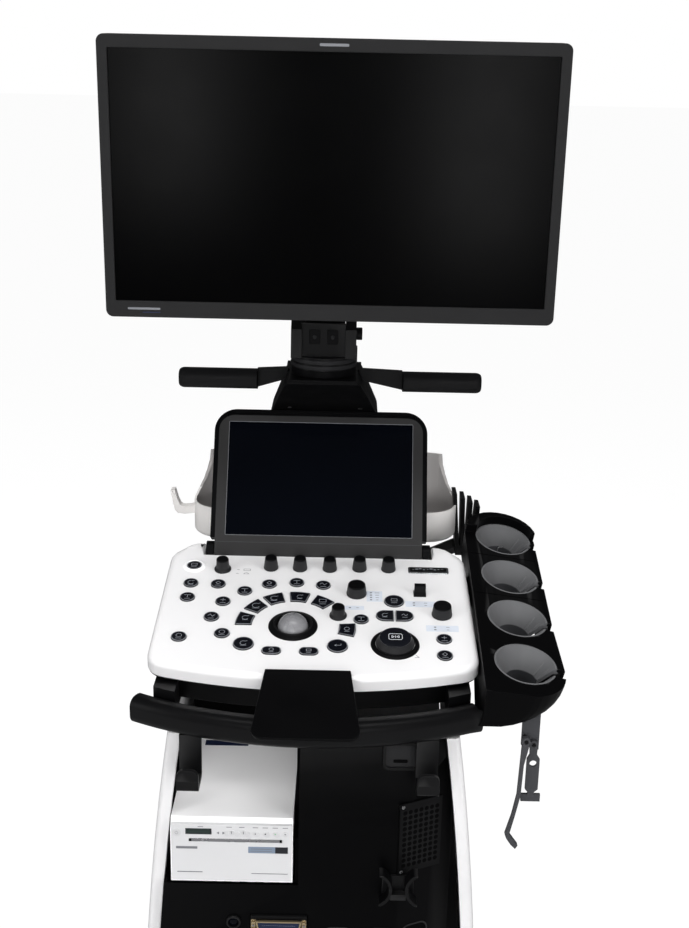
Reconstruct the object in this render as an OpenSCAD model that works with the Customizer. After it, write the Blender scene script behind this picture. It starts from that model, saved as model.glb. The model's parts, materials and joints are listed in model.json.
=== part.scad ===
// Cart-based ultrasound machine: monitor on an arm, tilting touch panel, control console with a
// probe rack, thermal printer in the cart body, and a lift column over four swivel casters.
// Origin: centre of the footprint, on the floor. +X is the machine's right, -Y its front, +Z up.

/* [Cart body] */
// Centre plane of the cart, column and neck
cart_x = -20; // [-22:1:-18]
// Front face of the body
body_front_y = -272; // [-274:1:-270]
// Rear face of the body
body_back_y = 335; // [330:1:338]
// Top of the base cover, where the body starts
body_bottom_z = 205; // [200:1:208]
// Top of the side panels
body_top_z = 770; // [766:1:772]
// Half width of the body at the top
body_half_top = 181; // [179:1:183]
// Half width of the body at the bottom
body_half_bottom = 226; // [222:1:230]
// Wall of the plastic covers
cover_wall = 4; // [3:0.5:5]
// White front edge of each side panel, seen from the front
side_lip = 17; // [15:1:18]

/* [Base and casters] */
// Half width of the base cover
base_half_w = 240; // [232:1:244]
// Half length of the base cover
base_half_l = 345; // [342:1:348]
// Underside of the base cover
base_bottom_z = 140; // [138:1:142]
// Radius of the caster wheels
wheel_r = 62.5; // [60:0.5:63]
// Width of the caster wheels
wheel_w = 32; // [28:1:34]
// Sideways distance of each caster from the centre plane
caster_dx = 180; // [170:1:185]
// Front caster stems
caster_front_y = -200; // [-210:1:-190]
// Rear caster stems
caster_rear_y = 240; // [230:1:245]
// Distance from the stem to the wheel's axle
caster_trail = 34; // [30:1:36]

/* [Printer] */
// Left side of the printer
printer_x = -198; // [-198:1:-197]
// Width of the printer
printer_w = 154; // [152:1:154]
// Height of the printer
printer_h = 88; // [86:1:90]
// Depth of the printer
printer_d = 240; // [230:1:245]
// Underside of the printer
printer_z = 566; // [566:1:567]

/* [Console] */
// Centre plane of the console
console_x = -23; // [-24:1:-22]
// A point of the console's top surface, front to back
deck_y = -120; // [-122:1:-118]
// Height of that point
deck_z = 874.5; // [873:0.5:876]
// Slope of the console, front edge lower
deck_tilt = 12; // [11.5:0.5:12.5]
// Half width of the white top at the front
deck_half_front = 208; // [207:1:208]
// Half width of the white top at the back
deck_half_back = 200; // [198:1:201]
// Front edge of the white top
deck_front = -140; // [-142:1:-138]
// Back edge of the white top
deck_back = 156; // [154:1:158]
// Height of the white top's side wall
deck_wall_h = 21; // [20:1:24]
// Thickness of the white top
deck_skin = 5; // [4:0.5:5]

/* [Handle] */
// Outer radius of the front handle's curve
handle_r = 460; // [455:1:465]
// Depth of the handle's section
handle_d = 28; // [26:1:30]
// Underside of the handle
handle_z = 780; // [779:1:782]
// Height of the handle's section
handle_h = 35; // [33:1:36]
// Front of the handle on the centre plane
handle_front_y = -319; // [-320:1:-318]

/* [Probe rack] */
// Inner side of the rack, from the console's centre
rack_in = 209.5; // [209:0.5:210]
// Outer side of the rack
rack_out = 311; // [309:1:312]
// Depth of the rack's skirt
rack_depth = 56; // [50:1:58]
// Radius of a probe cup's mouth
cup_r = 39; // [38:0.5:39]
// Radius of a probe cup's throat
throat_r = 20; // [19:0.5:22]
// Width of the cable slot in a cup
slot_w = 15; // [12:1:16]

/* [Touch panel] */
// Width of the touch panel
touch_w = 304; // [300:1:306]
// Height of the touch panel above its hinge
touch_h = 193; // [190:1:195]
// Thickness of the touch panel
touch_t = 24; // [20:1:25]
// Lean of the touch panel from upright
touch_lean = 30; // [28:1:31]
// Radius of the hinge barrel along its bottom
barrel_r = 12; // [11:0.5:12]

/* [Monitor] */
// Centre plane of the monitor
monitor_x = -11; // [-12:1:-10]
// Width of the monitor
monitor_w = 552; // [550:1:554]
// Height of the monitor
monitor_h = 332; // [330:1:334]
// Thickness of the monitor
monitor_t = 54; // [50:1:56]
// Front face of the monitor
monitor_y = -112; // [-113:1:-110]
// Middle height of the monitor
monitor_z = 1423.5; // [1422:0.5:1425]
// Width of the visible picture
screen_w = 527; // [526:1:528]
// Height of the visible picture
screen_h = 296.4; // [296:0.1:297]
// Forward lean of the monitor
monitor_lean = 1.6; // [0:0.1:2]

/* [Column and neck] */
// Centre of the lift column, front to back
column_y = 190; // [188:1:192]
// Centre of the neck, front to back
neck_y = 40; // [39:1:41]
// Radius of the neck's drum
neck_r = 44; // [43:1:45]
// Height of the neck's swivel face
neck_z = 1169; // [1168:1:1170]
// Height of the monitor arm's pivot
arm_pivot_z = 1212; // [1210:1:1214]

/* [Hidden] */
$fn = 48;

// Radial clearance of a running fit
fit = 0.05;
// Gap between covers that don't touch
gap = 1;

// Colours
white_c = "whitesmoke";
black_c = [0.08, 0.08, 0.09];
grey_c = [0.45, 0.46, 0.48];
warm_white_c = [0.86, 0.84, 0.80];
steel_c = "silver";

// Middle control point of the side panels' outline
body_half_mid = 216.5;
body_mid_z = 530;
// Top of the printer's opening frame and of the top deck
bay_floor_z = printer_z - 4;
deck_top_z = 763;
// Right edge of the printer bay, left edge of the curved front panel
bay_right_x = -37;
// Where the front panel turns towards the right side, and where it ends
turn_x = 88;
turn_end_x = 158;
turn_end_y = body_front_y + 34;
// Casters: name, sideways side, front to back
front_left = [cart_x - caster_dx, caster_front_y];
front_right = [cart_x + caster_dx, caster_front_y];
rear_left = [cart_x - caster_dx, caster_rear_y];
rear_right = [cart_x + caster_dx, caster_rear_y];
stem_r = 11;
stem_bottom_z = 138;
stem_top_z = 188;
axle_r = 6;
// Lift column and sleeve
sleeve_w = 120;
sleeve_l = 100;
lift_w = 104;
lift_l = 84;
lift_top_z = 790;
sleeve_top_z = 748;
// Rear block of the console tray that stands on the lift column
block_half_w = 90;
block_top_z = 850;
tray_inset = 14;
tray_depth = 60;
// Monitor arm and tilt head
arm_pivot_y = 45;
tilt_y = 10;
tilt_z = 1424;
// Fan
fan_y = 312;
fan_z = 470;
fan_r = 52;
// Controls on the console's top, as [x, y] on its surface
key_r = 9.8;
key_gap = 0.5;
key_top = 2.4;
round_keys = [
    [-170, 100], [-170, 58], [-171, 25], [-133, 57], [-96, 42], [-123, 17], [-135, -18],
    [-118, -53], [-172, -62], [-64, 59], [-27, 64], [9, 59], [60, -17], [166, -56], [165, -90]
];
big_keys = [[-89, -74], [30, -75], [104, 25]];
big_key_r = 13;
oval_keys = [[-53, -87], [-6, -87]];
d_keys = [[91, -8], [117, -8]];
ball_at = [-28, -34];
ball_r = 20.5;
ball_z = -4;
ball_ring_r = 32;
arc_key_angles = [169, 141, 114, 85, 56, -5];
arc_key_in = 54;
arc_key_out = 75;
arc_key_half = 10.5;
freeze_at = [103, -69];
freeze_r = 24.5;
freeze_ring_r = 31;
toggle_at = [139, 45];
menu_knob_r = 10;
menu_knob_h = 18;
menu_knob_at = [[-130, 93], [-64, 99], [-24, 99], [17, 99], [58, 101], [98, 101]];
big_knob_r = 13.5;
big_knob_h = 16;
zoom_at = [54, 41];
select_at = [30, -10];
select_r = 11.5;
gain_at = [166, -3];
shaft_r = 3;
// Probe cups on the rack, as [x, y] on the console's surface
cups = [[265, -104], [265, -8], [265, 88], [265, 184]];
slot_angle = -14;
// The rack leans outwards about its inner edge, which stands a little above the white top
rack_roll = 8;
rack_up = 9;
// Touch panel's hinge axis
hinge_y = 18;
hinge_z = 905;
post_in = 146;
post_w = 11;
touch_pin_r = 5;
touch_pin_l = 26;
// Straps that hang below the rack
strap_y = -262;
short_pin = [252, 764];
long_pin = [241, 772];

// ---------- Shared shapes ----------

// Rectangle with round corners, centred
module round_rect(w, h, r) {
    square([w - 2 * r, h], center = true);
    square([w, h - 2 * r], center = true);
    for (x = [-1, 1], y = [-1, 1])
        translate([x * (w / 2 - r), y * (h / 2 - r)]) circle(r);
}

// Upright plate of a front-view outline (x, z), from y0 back by depth
module from_front(y0, depth) {
    translate([0, y0 + depth, 0]) rotate([90, 0, 0]) linear_extrude(depth) children();
}

// Plate of a side-view outline (y, z), from x0 to the right by width
module from_side(x0, width) {
    translate([x0, 0, 0]) rotate([90, 0, 90]) linear_extrude(width) children();
}

// Points along an arc
function arc(cx, cy, r, a0, a1, n) =
    [for (i = [0 : n]) let (a = a0 + (a1 - a0) * i / n) [cx + r * cos(a), cy + r * sin(a)]];

// Point of a curve with one control point
function bend(p0, p1, p2, t) =
    (1 - t) * (1 - t) * p0 + 2 * t * (1 - t) * p1 + t * t * p2;

// One side of the body's front view, from top to bottom
function body_side(inset) =
    [for (i = [0 : 10]) bend([body_half_top - inset, body_top_z],
                             [body_half_mid - inset, body_mid_z],
                             [body_half_bottom - inset, body_bottom_z], i / 10)];

// Outline of the body seen from the front
module body_outline(inset = 0) {
    right = body_side(inset);
    left = [for (i = [len(right) - 1 : -1 : 0]) [-right[i][0], right[i][1]]];
    translate([cart_x, 0]) polygon(concat(right, left));
}

// The same outline's right half, or its mirror image for the left half
module body_half_outline(inset, is_left) {
    translate([cart_x, 0]) mirror([is_left ? 1 : 0, 0])
        polygon(concat([[0, body_top_z]], body_side(inset), [[0, body_bottom_z]]));
}

// Frame of the console's top surface
module on_deck() {
    translate([console_x, deck_y, deck_z]) rotate([deck_tilt, 0, 0]) children();
}

// Outline of the white top
module deck_outline(inset = 0) {
    front_r = 770 - inset;
    front_c = deck_front + 770;
    corner = 26;
    back_r = 38;
    side = deck_half_front - inset;
    back = deck_half_back - inset;
    half = concat(
        arc(0, front_c, front_r, -90, -76.3, 6),
        arc(deck_half_front - corner, deck_front + 49, corner - inset, -74, 0, 5),
        arc(deck_half_back - back_r, deck_back - back_r, back_r - inset, 0, 90, 6));
    polygon(concat(half, [for (i = [len(half) - 1 : -1 : 0]) [-half[i][0], half[i][1]]]));
}

// Outline of the probe rack
module rack_outline(inset = 0) {
    tip_r = 52;
    tip_y = -114;
    rear_r = (rack_out - rack_in) / 2;
    polygon(concat(
        [[rack_in + inset, tip_y - tip_r + inset]],
        arc(rack_out + 4 - tip_r, tip_y, tip_r - inset, -90, 0, 10),
        [[rack_out - inset, -20]],
        arc(rack_out - rear_r, 186, rear_r - inset, 0, 180, 14)));
}

module on_rack() {
    on_deck() translate([rack_in, 0, rack_up]) rotate([0, rack_roll, 0])
        translate([-rack_in, 0, 0]) children();
}

// Everything to the right of x on the console's surface
module right_of(x) {
    on_deck() translate([x, -300, -150]) cube([300, 700, 300]);
}

// Key cap with one round end; side is -1 for the left end, 1 for the right end
module d_key(side, grow) {
    r = 11 + grow;
    mirror([side > 0 ? 1 : 0, 0])
        polygon(concat(arc(-0.5, 0, r, 90, 270, 12), [[11.5 + grow, -r], [11.5 + grow, r]]));
}

// Fan-shaped key cap around the trackball
// The lone key at the right of the arc stands further out than the others
function arc_key_out_by(angle) = angle < 0 ? 6 : 0;

module arc_key(half_angle, inner, outer) {
    polygon(concat(arc(0, 0, outer, -half_angle, half_angle, 4),
                   arc(0, 0, inner, half_angle, -half_angle, 3)));
}

// ---------- Base and casters ----------

module base_frame() {
    color(steel_c) difference() {
        union() {
            translate([cart_x, 20, 154])
                cube([2 * caster_dx + 44, 2 * 250, 8], center = true);
            for (p = [front_left, front_right, rear_left, rear_right])
                translate([p[0], p[1], stem_bottom_z])
                    cylinder(r = 20, h = stem_top_z - stem_bottom_z + 4);
        }
        for (p = [front_left, front_right, rear_left, rear_right])
            translate([p[0], p[1], stem_bottom_z - 1]) cylinder(r = stem_r + fit, h = 80);
    }
}

module base_cover() {
    top = body_bottom_z;
    color(white_c) difference() {
        translate([cart_x, 0, base_bottom_z]) linear_extrude(top - base_bottom_z)
            round_rect(2 * base_half_w, 2 * base_half_l, 70);
        translate([cart_x, 0, base_bottom_z - 1]) linear_extrude(top - base_bottom_z - 4)
            round_rect(2 * base_half_w - 10, 2 * base_half_l - 10, 65);
        translate([cart_x, column_y, top])
            cube([sleeve_w + 2 * gap, sleeve_l + 2 * gap, 40], center = true);
    }
}

module fork(p) {
    leg_in = wheel_w / 2 + 3;
    leg_t = 5;
    axle_y = p[1] + caster_trail;
    color(steel_c) {
        translate([p[0], p[1], stem_bottom_z - 2]) cylinder(r = stem_r, h = stem_top_z - stem_bottom_z);
        translate([p[0], p[1], 130]) cylinder(r = 26, h = stem_bottom_z - 132);
        translate([p[0], p[1], 130]) cylinder(r = 17, h = stem_bottom_z - 130);
        translate([p[0] - leg_in - leg_t, p[1] - 20, 130]) cube([2 * (leg_in + leg_t), 52, 6]);
        for (x = [p[0] - leg_in - leg_t, p[0] + leg_in])
            from_side(x, leg_t) {
                polygon([[p[1] - 20, 136], [p[1] + 32, 136], [axle_y + 15, wheel_r],
                         [axle_y - 15, wheel_r]]);
                translate([axle_y, wheel_r]) circle(15);
            }
        translate([p[0] - leg_in - leg_t - 3, axle_y, wheel_r]) rotate([0, 90, 0])
            cylinder(r = axle_r, h = 2 * (leg_in + leg_t + 3));
    }
}

module wheel(p) {
    color(grey_c) translate([p[0], p[1] + caster_trail, wheel_r]) rotate([0, 90, 0])
        rotate_extrude($fn = 64) polygon([
            [axle_r + fit, -wheel_w / 2 - 2], [14, -wheel_w / 2 - 2], [14, -wheel_w / 2 + 4],
            [44, -wheel_w / 2 + 4], [46, -wheel_w / 2], [wheel_r - 4, -wheel_w / 2],
            [wheel_r, -wheel_w / 2 + 5], [wheel_r, wheel_w / 2 - 5],
            [wheel_r - 4, wheel_w / 2], [46, wheel_w / 2], [44, wheel_w / 2 - 4],
            [14, wheel_w / 2 - 4], [14, wheel_w / 2 + 2], [axle_r + fit, wheel_w / 2 + 2]]);
}

// ---------- Cart body ----------

module side_panel(is_left) {
    front = body_front_y + 10;
    color(white_c) {
        difference() {
            from_front(front, body_back_y - front) body_half_outline(0, is_left);
            from_front(front + 12, body_back_y - front) body_half_outline(cover_wall, is_left);
            from_front(front - 1, 20) body_half_outline(side_lip, is_left);
        }
    }
}

// Solid behind the front panel's face: turned towards the right side and leaning back at the top
module front_form(inset) {
    f = body_front_y + inset;
    intersection() {
        from_front(f - 1, 80) body_outline(side_lip + 1 + inset);
        translate([0, 0, body_bottom_z]) linear_extrude(body_top_z)
            polygon([[-300, f], [turn_x, f], [turn_end_x, turn_end_y + inset], [200, -200],
                     [-300, -200]]);
        from_side(-300, 600)
            polygon([[-200, body_bottom_z], [f, body_bottom_z], [f, 628], [f + 3, 655],
                     [f + 9, 682], [f + 18, 710], [f + 32, 742], [f + 38, 752 - inset],
                     [-200, 752 - inset]]);
    }
}

module front_panel() {
    color(black_c) difference() {
        front_form(0);
        front_form(cover_wall);
        // the printer's bay
        translate([-400, -400, bay_floor_z]) cube([400 + bay_right_x, 400, 300]);
        // behind the connector panel
        translate([cart_x - 150, -300, 240]) cube([300, 60, 200]);
        // connector opening
        translate([-98, -300, 490]) cube([74, 60, 28]);
        // behind the grille
        on_turn() translate([4, -1, 588]) cube([44, 12, 88]);
    }
}

// Frame on the face of the front panel that is turned to the right: X along the face
module on_turn() {
    translate([turn_x, body_front_y, 0])
        rotate([0, 0, atan2(turn_end_y - body_front_y, turn_end_x - turn_x)]) children();
}

module speaker_grille() {
    hole = 2.6;
    pitch = 7.6;
    color(black_c) on_turn() difference() {
        translate([1, -2.5, 582]) cube([60, 2, 100]);
        for (i = [0 : 6], j = [0 : 10])
            translate([8 + i * pitch, 2, 593 + j * pitch]) rotate([90, 0, 0])
                cylinder(r = hole, h = 6, $fn = 8);
    }
    color(steel_c) on_turn() for (z = [585.5, 678.5])
        translate([4.5, -2.5, z]) rotate([90, 0, 0]) cylinder(r = 2, h = 1.2);
}

module connector_panel() {
    color(grey_c) {
        difference() {
            translate([cart_x - 149, body_front_y + 4.5, 241]) cube([298, 6, 198]);
            for (i = [0 : 3]) translate([cart_x - 130 + i * 68, body_front_y, 300])
                cube([56, 8, 84]);
        }
        for (i = [0 : 3]) translate([cart_x - 102 + i * 68, body_front_y + 4.5, 342])
            rotate([90, 0, 0]) linear_extrude(3) difference() {
                round_rect(62, 92, 8);
                round_rect(50, 78, 4);
            }
    }
    color(steel_c) difference() {
        translate([-97, body_front_y - 3, 491]) cube([72, 11, 26]);
        translate([-86, body_front_y - 4, 495]) cube([50, 8, 18]);
    }
    color(black_c) translate([-84, body_front_y - 1.5, 497]) cube([46, 5, 14]);
}

module printer_bay() {
    left = -209;
    back = 12;
    color(black_c) {
        translate([left, body_front_y + 22, bay_floor_z]) cube([bay_right_x - left, 262, 4]);
        translate([-200, body_front_y + 5, bay_floor_z])
            cube([bay_right_x + 200, 18, 4]);
        translate([left, body_front_y + 22, bay_floor_z]) cube([3, 262, 90]);
        translate([bay_right_x - 4, body_front_y + 5, bay_floor_z]) cube([4, 279, 66]);
        translate([bay_right_x - 4, body_front_y + 42, bay_floor_z]) cube([4, 242, 180]);
        translate([left + 9, back - 3, bay_floor_z]) cube([bay_right_x - left - 9, 3, 180]);
    }
}

module printer_case() {
    chamfer = 9;
    front = body_front_y;
    color(white_c) difference() {
        from_side(printer_x, printer_w) polygon([
            [front, printer_z], [front + printer_d, printer_z],
            [front + printer_d, printer_z + printer_h],
            [front + chamfer, printer_z + printer_h],
            [front, printer_z + printer_h - 14]]);
        // display window, paper slot and the row of keys
        translate([printer_x + 20, front - 1, printer_z + 62]) cube([32, 3, 8]);
        translate([printer_x + 24, front - 1, printer_z + 52]) cube([116, 10, 3]);
        for (i = [0 : 5]) translate([printer_x + 72 + i * 12.5, front - 1, printer_z + 63])
            rotate([-90, 0, 0]) cylinder(r = 4, h = 8);
        translate([printer_x + 8, front - 1, printer_z + 64]) rotate([-90, 0, 0])
            cylinder(r = 5, h = 8);
    }
}

module printer_keys() {
    color(white_c) {
        for (i = [0 : 5])
            translate([printer_x + 72 + i * 12.5, body_front_y - 1, printer_z + 63])
                rotate([-90, 0, 0]) cylinder(r = 3.7, h = 5);
        translate([printer_x + 8, body_front_y - 1, printer_z + 64]) rotate([-90, 0, 0])
            cylinder(r = 4.7, h = 5);
    }
}

module cable_cleat() {
    at_x = 90;
    color(black_c) {
        translate([at_x - 20, body_front_y - 3, 549]) cube([40, 3, 32]);
        for (s = [-1, 1]) translate([at_x, 0, 572]) scale([s, 1, 1])
            from_front(body_front_y - 22, 19) intersection() {
                difference() {
                    translate([34, 0]) circle(26);
                    translate([34, 0]) circle(22);
                }
                translate([4, -23]) square([20, 44]);
            }
        translate([at_x - 10, body_front_y - 12, 551]) cube([20, 9, 8]);
    }
}

module rear_cover() {
    wall = cover_wall;
    color(white_c) {
        difference() {
            from_front(body_back_y - wall, wall) body_outline(wall + gap);
            for (i = [-7 : 7]) translate([cart_x + i * 12 - 3, 300, 600]) cube([6, 60, 90]);
            for (i = [-4 : 4], s = [-1, 1]) if (i != 0)
                translate([cart_x + i * 12 - 3, 300, fan_z + s * 27 - 20]) cube([6, 60, 40]);
            translate([cart_x + 60, 300, 230]) cube([32, 60, 26]);
        }
        difference() {
            translate([cart_x - 172, 30, deck_top_z - 5]) cube([344, body_back_y - 30, 5]);
            translate([cart_x, column_y, deck_top_z])
                cube([lift_w + 6, lift_l + 6, 30], center = true);
        }
        // spindle of the fan
        translate([cart_x, fan_y - 12, fan_z]) rotate([-90, 0, 0])
            cylinder(r = shaft_r, h = body_back_y - wall - fan_y + 12);
    }
}

module fan_rotor() {
    color(black_c) translate([cart_x, fan_y, fan_z]) rotate([90, 0, 0]) {
        difference() {
            union() {
                translate([0, 0, -9]) cylinder(r = 18, h = 18);
                for (a = [0 : 40 : 320]) rotate([0, 0, a])
                    translate([14, -1.5, -8]) cube([fan_r - 14, 3, 16]);
            }
            translate([0, 0, -10]) cylinder(r = shaft_r + fit, h = 30);
        }
    }
}

module card_cage() {
    color(steel_c) {
        for (z = [body_bottom_z, 540])
            translate([cart_x - 130, -225, z]) cube([260, 340, 3]);
        for (i = [-6 : 6]) translate([cart_x + i * 21 - 1, -220, body_bottom_z])
            cube([2, 330, 338]);
    }
}

module power_supply() {
    color(steel_c) difference() {
        translate([cart_x - 110, 246, body_bottom_z]) cube([220, 60, 150]);
        translate([cart_x - 107, 249, body_bottom_z + 3]) cube([214, 60, 144]);
    }
    // mains inlet, in the rear cover's opening
    color(black_c) difference() {
        translate([cart_x + 62, 300, 232]) cube([28, 37, 22]);
        translate([cart_x + 66, 316, 236]) cube([20, 30, 14]);
    }
}

module column_sleeve() {
    color(steel_c) difference() {
        translate([cart_x - sleeve_w / 2, column_y - sleeve_l / 2, 158])
            cube([sleeve_w, sleeve_l, sleeve_top_z - 158]);
        translate([cart_x - lift_w / 2 - 0.5, column_y - lift_l / 2 - 0.5, 162])
            cube([lift_w + 1, lift_l + 1, 700]);
    }
}

module lift_column() {
    color(steel_c) difference() {
        translate([cart_x - lift_w / 2, column_y - lift_l / 2, 340])
            cube([lift_w, lift_l, lift_top_z - 340]);
        translate([cart_x - lift_w / 2 + 5, column_y - lift_l / 2 + 5, 330])
            cube([lift_w - 10, lift_l - 10, lift_top_z - 340]);
    }
}

// ---------- Console ----------

module console_tray() {
    color(black_c) {
        on_deck() {
            difference() {
                translate([0, 0, -tray_depth]) linear_extrude(tray_depth - deck_wall_h)
                    deck_outline(tray_inset);
                translate([0, 0, -tray_depth + 4]) linear_extrude(tray_depth)
                    deck_outline(tray_inset + 4);
            }
            // lip that carries the white top
            translate([0, 0, -deck_wall_h - 3]) linear_extrude(3) difference() {
                deck_outline(1);
                deck_outline(tray_inset + 4);
            }
        }
        // posts that hold the touch panel's hinge
        for (s = [-1, 1]) {
            x0 = console_x + (s > 0 ? post_in : -post_in - post_w);
            from_side(x0, post_w) {
                translate([hinge_y, hinge_z]) circle(barrel_r);
                polygon([[hinge_y - 9, hinge_z], [hinge_y + 9, hinge_z], [hinge_y + 6, 840],
                         [hinge_y - 12, 840]]);
            }
            translate([console_x + s * (post_in - 12), hinge_y, hinge_z]) rotate([0, 90, 0])
                cylinder(r = touch_pin_r, h = touch_pin_l, center = true);
        }
        // block that stands on the lift column
        translate([cart_x - block_half_w, -30, lift_top_z])
            cube([2 * block_half_w, 280, block_top_z - lift_top_z]);
    }
}

module console_top() {
    color(white_c) on_deck() difference() {
        translate([0, 0, -deck_wall_h]) linear_extrude(deck_wall_h) deck_outline();
        translate([0, 0, -deck_wall_h - 1]) linear_extrude(deck_wall_h + 1 - deck_skin)
            deck_outline(cover_wall);
        // room for the touch panel's hinge
        translate([-post_in - post_w - 3, deck_back - 28, -50])
            cube([2 * (post_in + post_w + 3), 60, 100]);
        // notch for the palm plate
        translate([-59.5, deck_front - 2, -1.5]) cube([108, 12, 10]);
        for (p = round_keys) translate([p[0], p[1], -10]) cylinder(r = key_r + key_gap, h = 20);
        for (p = big_keys) translate([p[0], p[1], -10]) cylinder(r = big_key_r + key_gap, h = 20);
        for (p = oval_keys) translate([p[0], p[1], -10]) linear_extrude(20)
            round_rect(24 + 2 * key_gap, 15 + 2 * key_gap, 7.5);
        for (i = [0, 1]) translate([d_keys[i][0], d_keys[i][1], -10]) linear_extrude(20)
            d_key(2 * i - 1, key_gap);
        translate([ball_at[0], ball_at[1], -10]) {
            cylinder(r = 26, h = 20);
            for (a = arc_key_angles) rotate([0, 0, a]) translate([arc_key_out_by(a), 0, 0])
                linear_extrude(20)
                    arc_key(arc_key_half + 0.5, arc_key_in - key_gap, arc_key_out + key_gap);
        }
        translate([freeze_at[0], freeze_at[1], -10]) cylinder(r = 12, h = 20);
        translate([toggle_at[0] - 8.5, toggle_at[1] - 8, -10]) cube([17, 16, 20]);
        for (p = concat(menu_knob_at, [zoom_at, select_at, gain_at]))
            translate([p[0], p[1], -10]) cylinder(r = shaft_r + fit, h = 20);
    }
}

module front_handle() {
    end_angle = 26.6;
    centre_y = handle_front_y + handle_r;
    left_angle = 29;
    color(black_c) {
        translate([console_x, centre_y, handle_z]) rotate([0, 0, -90 - left_angle])
            rotate_extrude(angle = left_angle + end_angle, $fn = 240) {
                translate([handle_r - handle_d / 2, handle_h / 2])
                    round_rect(handle_d, handle_h, 12, $fn = 32);
            }
        // arms back to the console tray
        for (x = [-196, 168]) difference() {
            translate([console_x + x, -262, handle_z + 6]) cube([28, 80, 38]);
            translate([console_x, centre_y, 0]) difference() {
                cylinder(r = 600, h = 1000, $fn = 120);
                translate([0, 0, -1]) cylinder(r = handle_r - handle_d + 1, h = 1002, $fn = 240);
            }
            on_deck() translate([0, 0, -tray_depth]) linear_extrude(tray_depth)
                deck_outline(tray_inset);
        }
    }
}

module palm_plate() {
    slope = 27.6;
    length = 99.5;
    centre = console_x - 5.5;
    color(black_c) {
        translate([centre, -250, 854]) rotate([slope, 0, 0])
            translate([0, 0, -5]) linear_extrude(5)
                polygon(concat([[-52.5, 0], [52.5, 0]],
                               arc(51.3, -length + 13, 13, 0, -90, 6),
                               arc(-51.3, -length + 13, 13, -90, -180, 6)));
        // feet on the handle
        for (x = [-40, 30]) translate([centre + x - 1, -309, handle_z + handle_h])
            cube([12, 8, 7]);
    }
}

module probe_rack() {
    hump = 12;
    color(black_c) difference() {
        union() {
            difference() {
                intersection() {
                    on_rack() union() {
                        translate([0, 0, -rack_depth]) linear_extrude(rack_depth) rack_outline();
                        linear_extrude(hump) difference() {
                            rack_outline();
                            translate([100, -400]) square([300, 592]);
                        }
                    }
                    right_of(rack_in);
                }
                intersection() {
                    on_rack() translate([0, 0, -rack_depth - 1]) linear_extrude(rack_depth - 4)
                        rack_outline(4);
                    right_of(rack_in + 4);
                }
            }
            // web that joins the rack to the tray
            on_deck() for (y = [-60, 90]) translate([192, y, -tray_depth + 6])
                cube([18, 50, 20]);
        }
        on_rack() for (c = cups) translate([c[0], c[1], 0]) {
            translate([0, 0, -20]) cylinder(r = cup_r + 1.2, h = 60);
            rotate([0, 0, slot_angle]) translate([0, -slot_w / 2, -rack_depth - 5])
                cube([80, slot_w, 90]);
        }
        // clear of the tray's side wall
        on_deck() translate([0, 0, -tray_depth - 1]) linear_extrude(tray_depth)
            deck_outline(tray_inset);
    }
}

module rack_liners() {
    color(grey_c) on_rack() for (c = cups) translate([c[0], c[1], 0]) difference() {
        rotate_extrude() polygon([
            [cup_r - 1.5, 0], [cup_r + 0.9, 0], [cup_r + 0.9, -5], [cup_r + 3, -5],
            [cup_r + 3, -8], [cup_r - 2.5, -9.5], [throat_r + 2.5, -29.5],
            [throat_r + 2.5, -46], [throat_r, -46], [throat_r, -26]]);
        rotate([0, 0, slot_angle]) translate([0, -slot_w / 2, -80]) cube([80, slot_w, 90]);
        // clear of the rack's side walls
        difference() {
            translate([-100, -100, -80]) cube([200, 200, 75.5]);
            translate([-c[0], -c[1], -81]) linear_extrude(90) rack_outline(4.5);
        }
    }
}

module rear_cups() {
    cup_y = 160;
    r = 47;
    floor_z = 870;
    rim_z = 932;
    back_z = 998;
    color(warm_white_c) for (s = [-1, 1]) {
        x = s < 0 ? -166 : 134;
        difference() {
            translate([x, cup_y, floor_z]) cylinder(r = r, h = back_z - floor_z);
            translate([x, cup_y, floor_z + 4]) cylinder(r = r - 3, h = 200);
            // low front, swept up to the tall back
            from_side(x - 60, 120) translate([cup_y, rim_z])
                polygon([[-60, 0], [-4, 0], [12, 4], [22, 11], [30, 22], [35, 36], [38, 50],
                         [40, 80], [-60, 80]]);
        }
        // bracket to the column cover
        cover_side = cart_x + s * 74;
        cup_side = x - s * 41.3;
        translate([min(cover_side, cup_side), cup_y + 16, 890])
            cube([abs(cover_side - cup_side), 16, 24]);
    }
    // hook on the outside of the left cup
    color(warm_white_c) from_front(cup_y - 8, 16)
        polygon([[-211, 924], [-211, 911], [-228, 908], [-237, 909.5], [-242, 915], [-245, 927],
                 [-248, 946], [-242, 947], [-238, 932], [-234, 923], [-229, 920.5],
                 [-218, 921.5]]);
}

module cable_hooks() {
    color(black_c) {
        for (x = [-183, 106]) from_side(x, 27) {
            polygon([[-285, 780], [-279, 780], [-279, 726], [-283, 722], [-316, 722],
                     [-320, 726], [-320, 749], [-317, 751], [-314, 749], [-314, 728],
                     [-285, 728]]);
        }
        // tab below the rack for the straps
        difference() {
            from_front(-256, 3) polygon([[237, 760], [259, 754], [259, 800], [237, 800]]);
            on_rack() translate([0, 0, -rack_depth]) linear_extrude(100) rack_outline();
        }
        translate([short_pin[0], -256, short_pin[1]]) rotate([90, 0, 0]) cylinder(r = 2.5, h = 8);
        translate([long_pin[0], -256, long_pin[1]]) rotate([90, 0, 0]) cylinder(r = 2.5, h = 16);
        // fork for probe leads behind the right cup
        translate([182.5, 152, 852]) cube([32, 38, 15]);
        translate([cart_x + 74, 184, 852]) cube([132.5, 6, 14]);
        for (i = [0 : 3]) translate([183 + 8 * i, 152, 866]) rotate([0, 3 + 3 * i, 0])
            cube([3.5, 34, 84 - 6 * i]);
    }
}

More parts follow.
